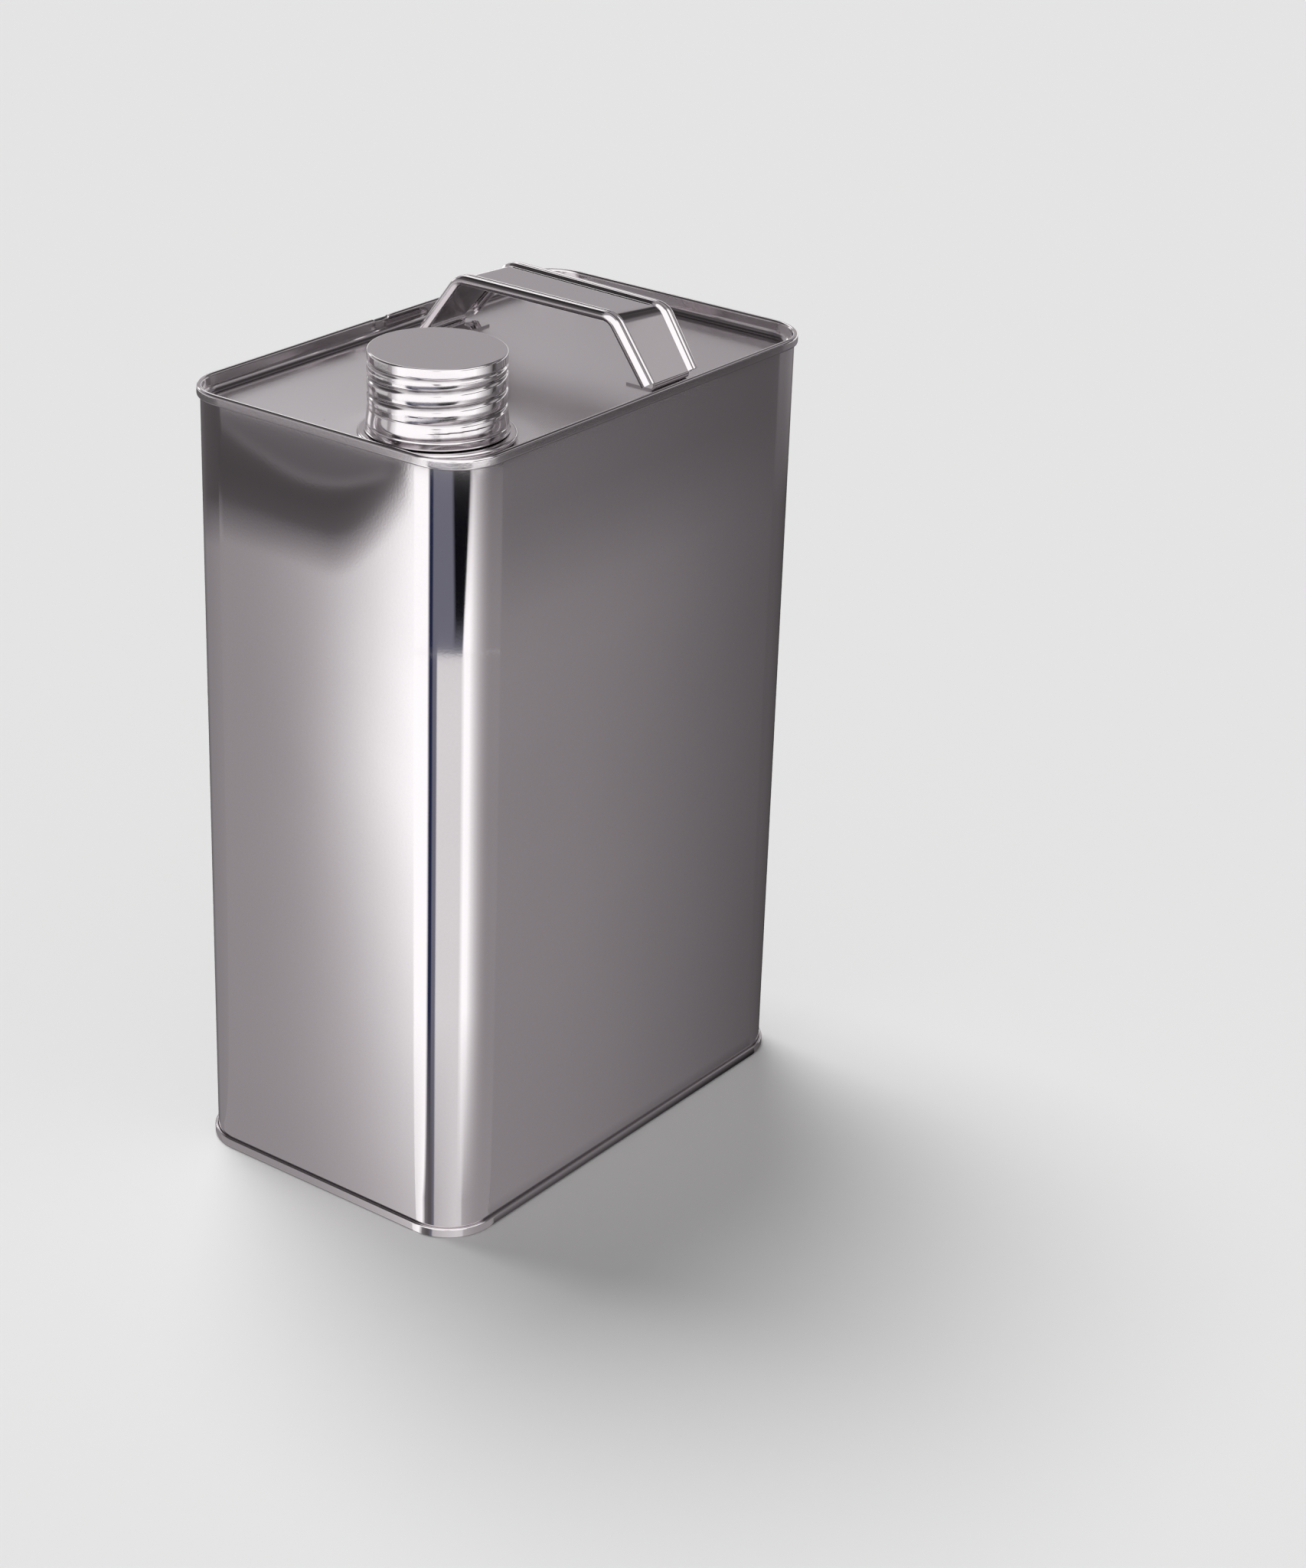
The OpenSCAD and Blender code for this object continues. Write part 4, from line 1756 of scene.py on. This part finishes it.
        # The sheen is the same all along the wall's back edge and grows to the front, less so low down.
        back, width, even, gain = 51, 87.6, 0.38, 1.12
        sheet = []
        for height in (0.5, 12, 60, 100, 140, seam):
            rise = min(gain, 0.32 + 0.0057 * height)
            shares = spread(0, 1, 24)
            sheet.append([(back - width * t, height, greyish(even + rise * t ** 3)) for t in shares])
        self.wall_card("left_sheet", 0, sheet, 2)
        ends = ((back, greyish(0.44)), (-37, greyish(0.52)))
        heights = (seam + 0.1, seam + 25, seam + 150)
        self.wall_card("left_rim", 0, [[(y, height, tone) for y, tone in ends] for height in heights], 2)
        # The dark part's lower edge is level at 206.5 mm at the back and climbs towards the front.
        black = 0.085
        dark = []
        for rise, share in ((-9.0, 0.0), (-3.0, 0.5), (4.0, 0.95), (12.0, 1.0), (36.0, 0.95)):
            row = []
            for y in spread(back, -33, 32):
                height = 206.5 + 27 * max(0.0, (-4 - y) / 30) ** 1.8 + rise
                bright = even + gain * ((back - y) / width) ** 3
                row.append((y, min(height, seam), greyish(bright + (black - bright) * share)))
            dark.append(row)
        self.wall_card("left_dark", 0, dark, 3)
        # Over it lies a lighter arch, lowest at 222.8 mm.
        arch = []
        across = spread(40, -26, 32)
        for over, level in ((0.0, black), (1.3, 0.26), (2.2, 0.2), (3.8, 0.14)):
            curve = [min(222.8 + 9 * ((y - 4) / 33) ** 2 + over, seam) for y in across]
            arch.append([(y, height, greyish(level)) for y, height in zip(across, curve)])
        arch.append([(y, seam, greyish(0.17)) for y in across])
        self.wall_card("left_arch", 0, arch, 4)

    def right_cards(self) -> None:
        """Lays the cards that the near broad wall shows: its sheen and the rim's."""
        seam = self.seam_from()
        # The wall is darker to the right, towards the top, and just over the bottom seam.
        left, right = -66, 67
        sheet = []
        for height in (0.3, 2, 3.5, 7, 100, 175, 190, 200, 210, 220, seam):
            row = []
            for share in spread(0, 1, 20):
                tone = 130 - 14 * share - 27 * share * share
                tone -= 24 * smooth((height - 180) / 45) * (1 - 0.7 * share ** 3)
                tone -= 75 * smooth((4.5 - height) / 4)
                row.append((left + (right - left) * share, height, shade(tone)))
            sheet.append(row)
        self.wall_card("right_sheet", 1, sheet, 2)
        ends = ((left, shade(68)), (right, shade(68)))
        heights = (seam + 0.1, seam + 25, seam + 150)
        self.wall_card("right_rim", 1, [[(x, height, tone) for x, tone in ends] for height in heights], 2)

    def near_cards(self) -> None:
        """Lays the fan of cards that the near upright edge shows."""
        hub = (self.sizes.corner_r - self.sizes.half_x, self.sizes.corner_r - self.sizes.half_y)
        white, pale, blue = greyish(1.5), shade(213), (0.205, 0.208, 0.262)
        navy = (0.02, 0.027, 0.07)
        black = (0.004, 0.004, 0.006)
        # From below, the edge shows a pale card, then one with a dark middle, then a bright one.
        line = [(178, white), (191.2, white), (194, navy), (196.8, navy), (198.5, blue), (201.8, blue)]
        dull = [*shades((178, 225), (187, 255), (191.5, 110), (196, 85), (198.5, 85)), (201.8, blue)]
        foot = dull + shades((203.5, 178), (228, 204), (234, 202)) + fade(236, 271, 0.55, 0.37)
        above = line + [(203.5, pale), (229, pale), (233.5, white), *fade(238.5, 271, 1.45, 0.35)]
        table = ((self.near_end, foot), (self.reach(hub, 12), foot), (self.reach(hub, 75), above),
                 (self.reach(hub, 184), above))
        self.fan("near_table", hub, table, 1)
        bright = [(237.5, white), *fade(239.5, 271, 1.4, 0.34)]
        sill = line + [(219, blue), (223.5, blue), (229.8, blue), (231.8, white), *bright]
        low = line + [(220, blue), (223.5, black), (231.3, black), (233, white), *bright]
        high = line + [(217, blue), (220.5, black), (236.8, black), *shades((238.8, 150), (241, 200)),
                       *fade(242, 271, 0.85, 0.24)]
        window = ((self.reach(hub, 184.2), sill), (self.reach(hub, 195), low),
                  (self.reach(hub, 237.7), high))
        self.fan("near_window", hub, window, 1)
        dim = shades((178, 115), (187, 105), (195, 40), (224, 35), (231, 120), (238, 50), (271, 40))
        clear = [(178, shade(170)), (186, white), (195, white), (224, white), (231, white), (252, white),
                 (271, shade(90))]
        beyond = ((self.reach(hub, 237.8), dim), (self.reach(hub, 239.5), dim),
                  (self.reach(hub, 240), clear), (self.far_end, clear))
        self.fan("near_beyond", hub, beyond, 1)

    def side_cards(self) -> None:
        """Lays the cards that the two upright edges at the sides show."""
        x = self.sizes.half_x - self.sizes.corner_r
        y = self.sizes.half_y - self.sizes.corner_r
        plain = shades((131, 60), (141, 92), (147, 110), (153, 126), (181, 138))
        dark = shades((131, 55), (141, 80), (147, 90), (160, 80), (181, 74))
        grey = shades((269, 88), (288, 76), (294, 64), (306, 50))
        light = shades((269, 104), (288, 120), (294, 105), (306, 80))
        edges = (("left_edge", (-x, y), plain, dark, (196, 210, 245)),
                 ("right_edge", (x, -y), grey, light, (190, 232, 250)))
        for name, hub, low, high, heights in edges:
            first, middle, last = (self.reach(hub, height) for height in heights)
            rows = ((self.near_end, low), (first, low), (middle, high), (last, high))
            self.fan(name, hub, rows, 0.6)


def main() -> None:
    """Builds the can, the studio and the camera."""
    logging.basicConfig(level=logging.INFO, format="%(name)s: %(message)s")
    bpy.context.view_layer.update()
    sizes = CanSizes.from_frame()
    effects = Effects()
    materials = {slot: finish.material(effects) for slot, finish in FINISHES.items()}
    neck = (sizes.neck_x, sizes.neck_y)
    pieces = (
        CanBody(sizes, materials),
        CanEnd(sizes, materials, hole_r=17.85 * MM, hole_at=neck, notch_depth=0.45 * MM),
        CanEnd(sizes, materials, name="can_bottom", node="bottom_end", recess=4.0 * MM, down=True,
               painted_shade=0.1),
        Neck(sizes, materials),
        ScrewCap(sizes, materials),
        StrapHandle(sizes, materials),
        InnerParts(sizes, materials),
    )
    for piece in pieces:
        piece.build()
    camera = Viewpoint().build()
    Studio(sizes, camera.matrix_world.translation).build()
    bpy.context.scene.view_settings.view_transform = "Standard"


if __name__ == "__main__":
    main()
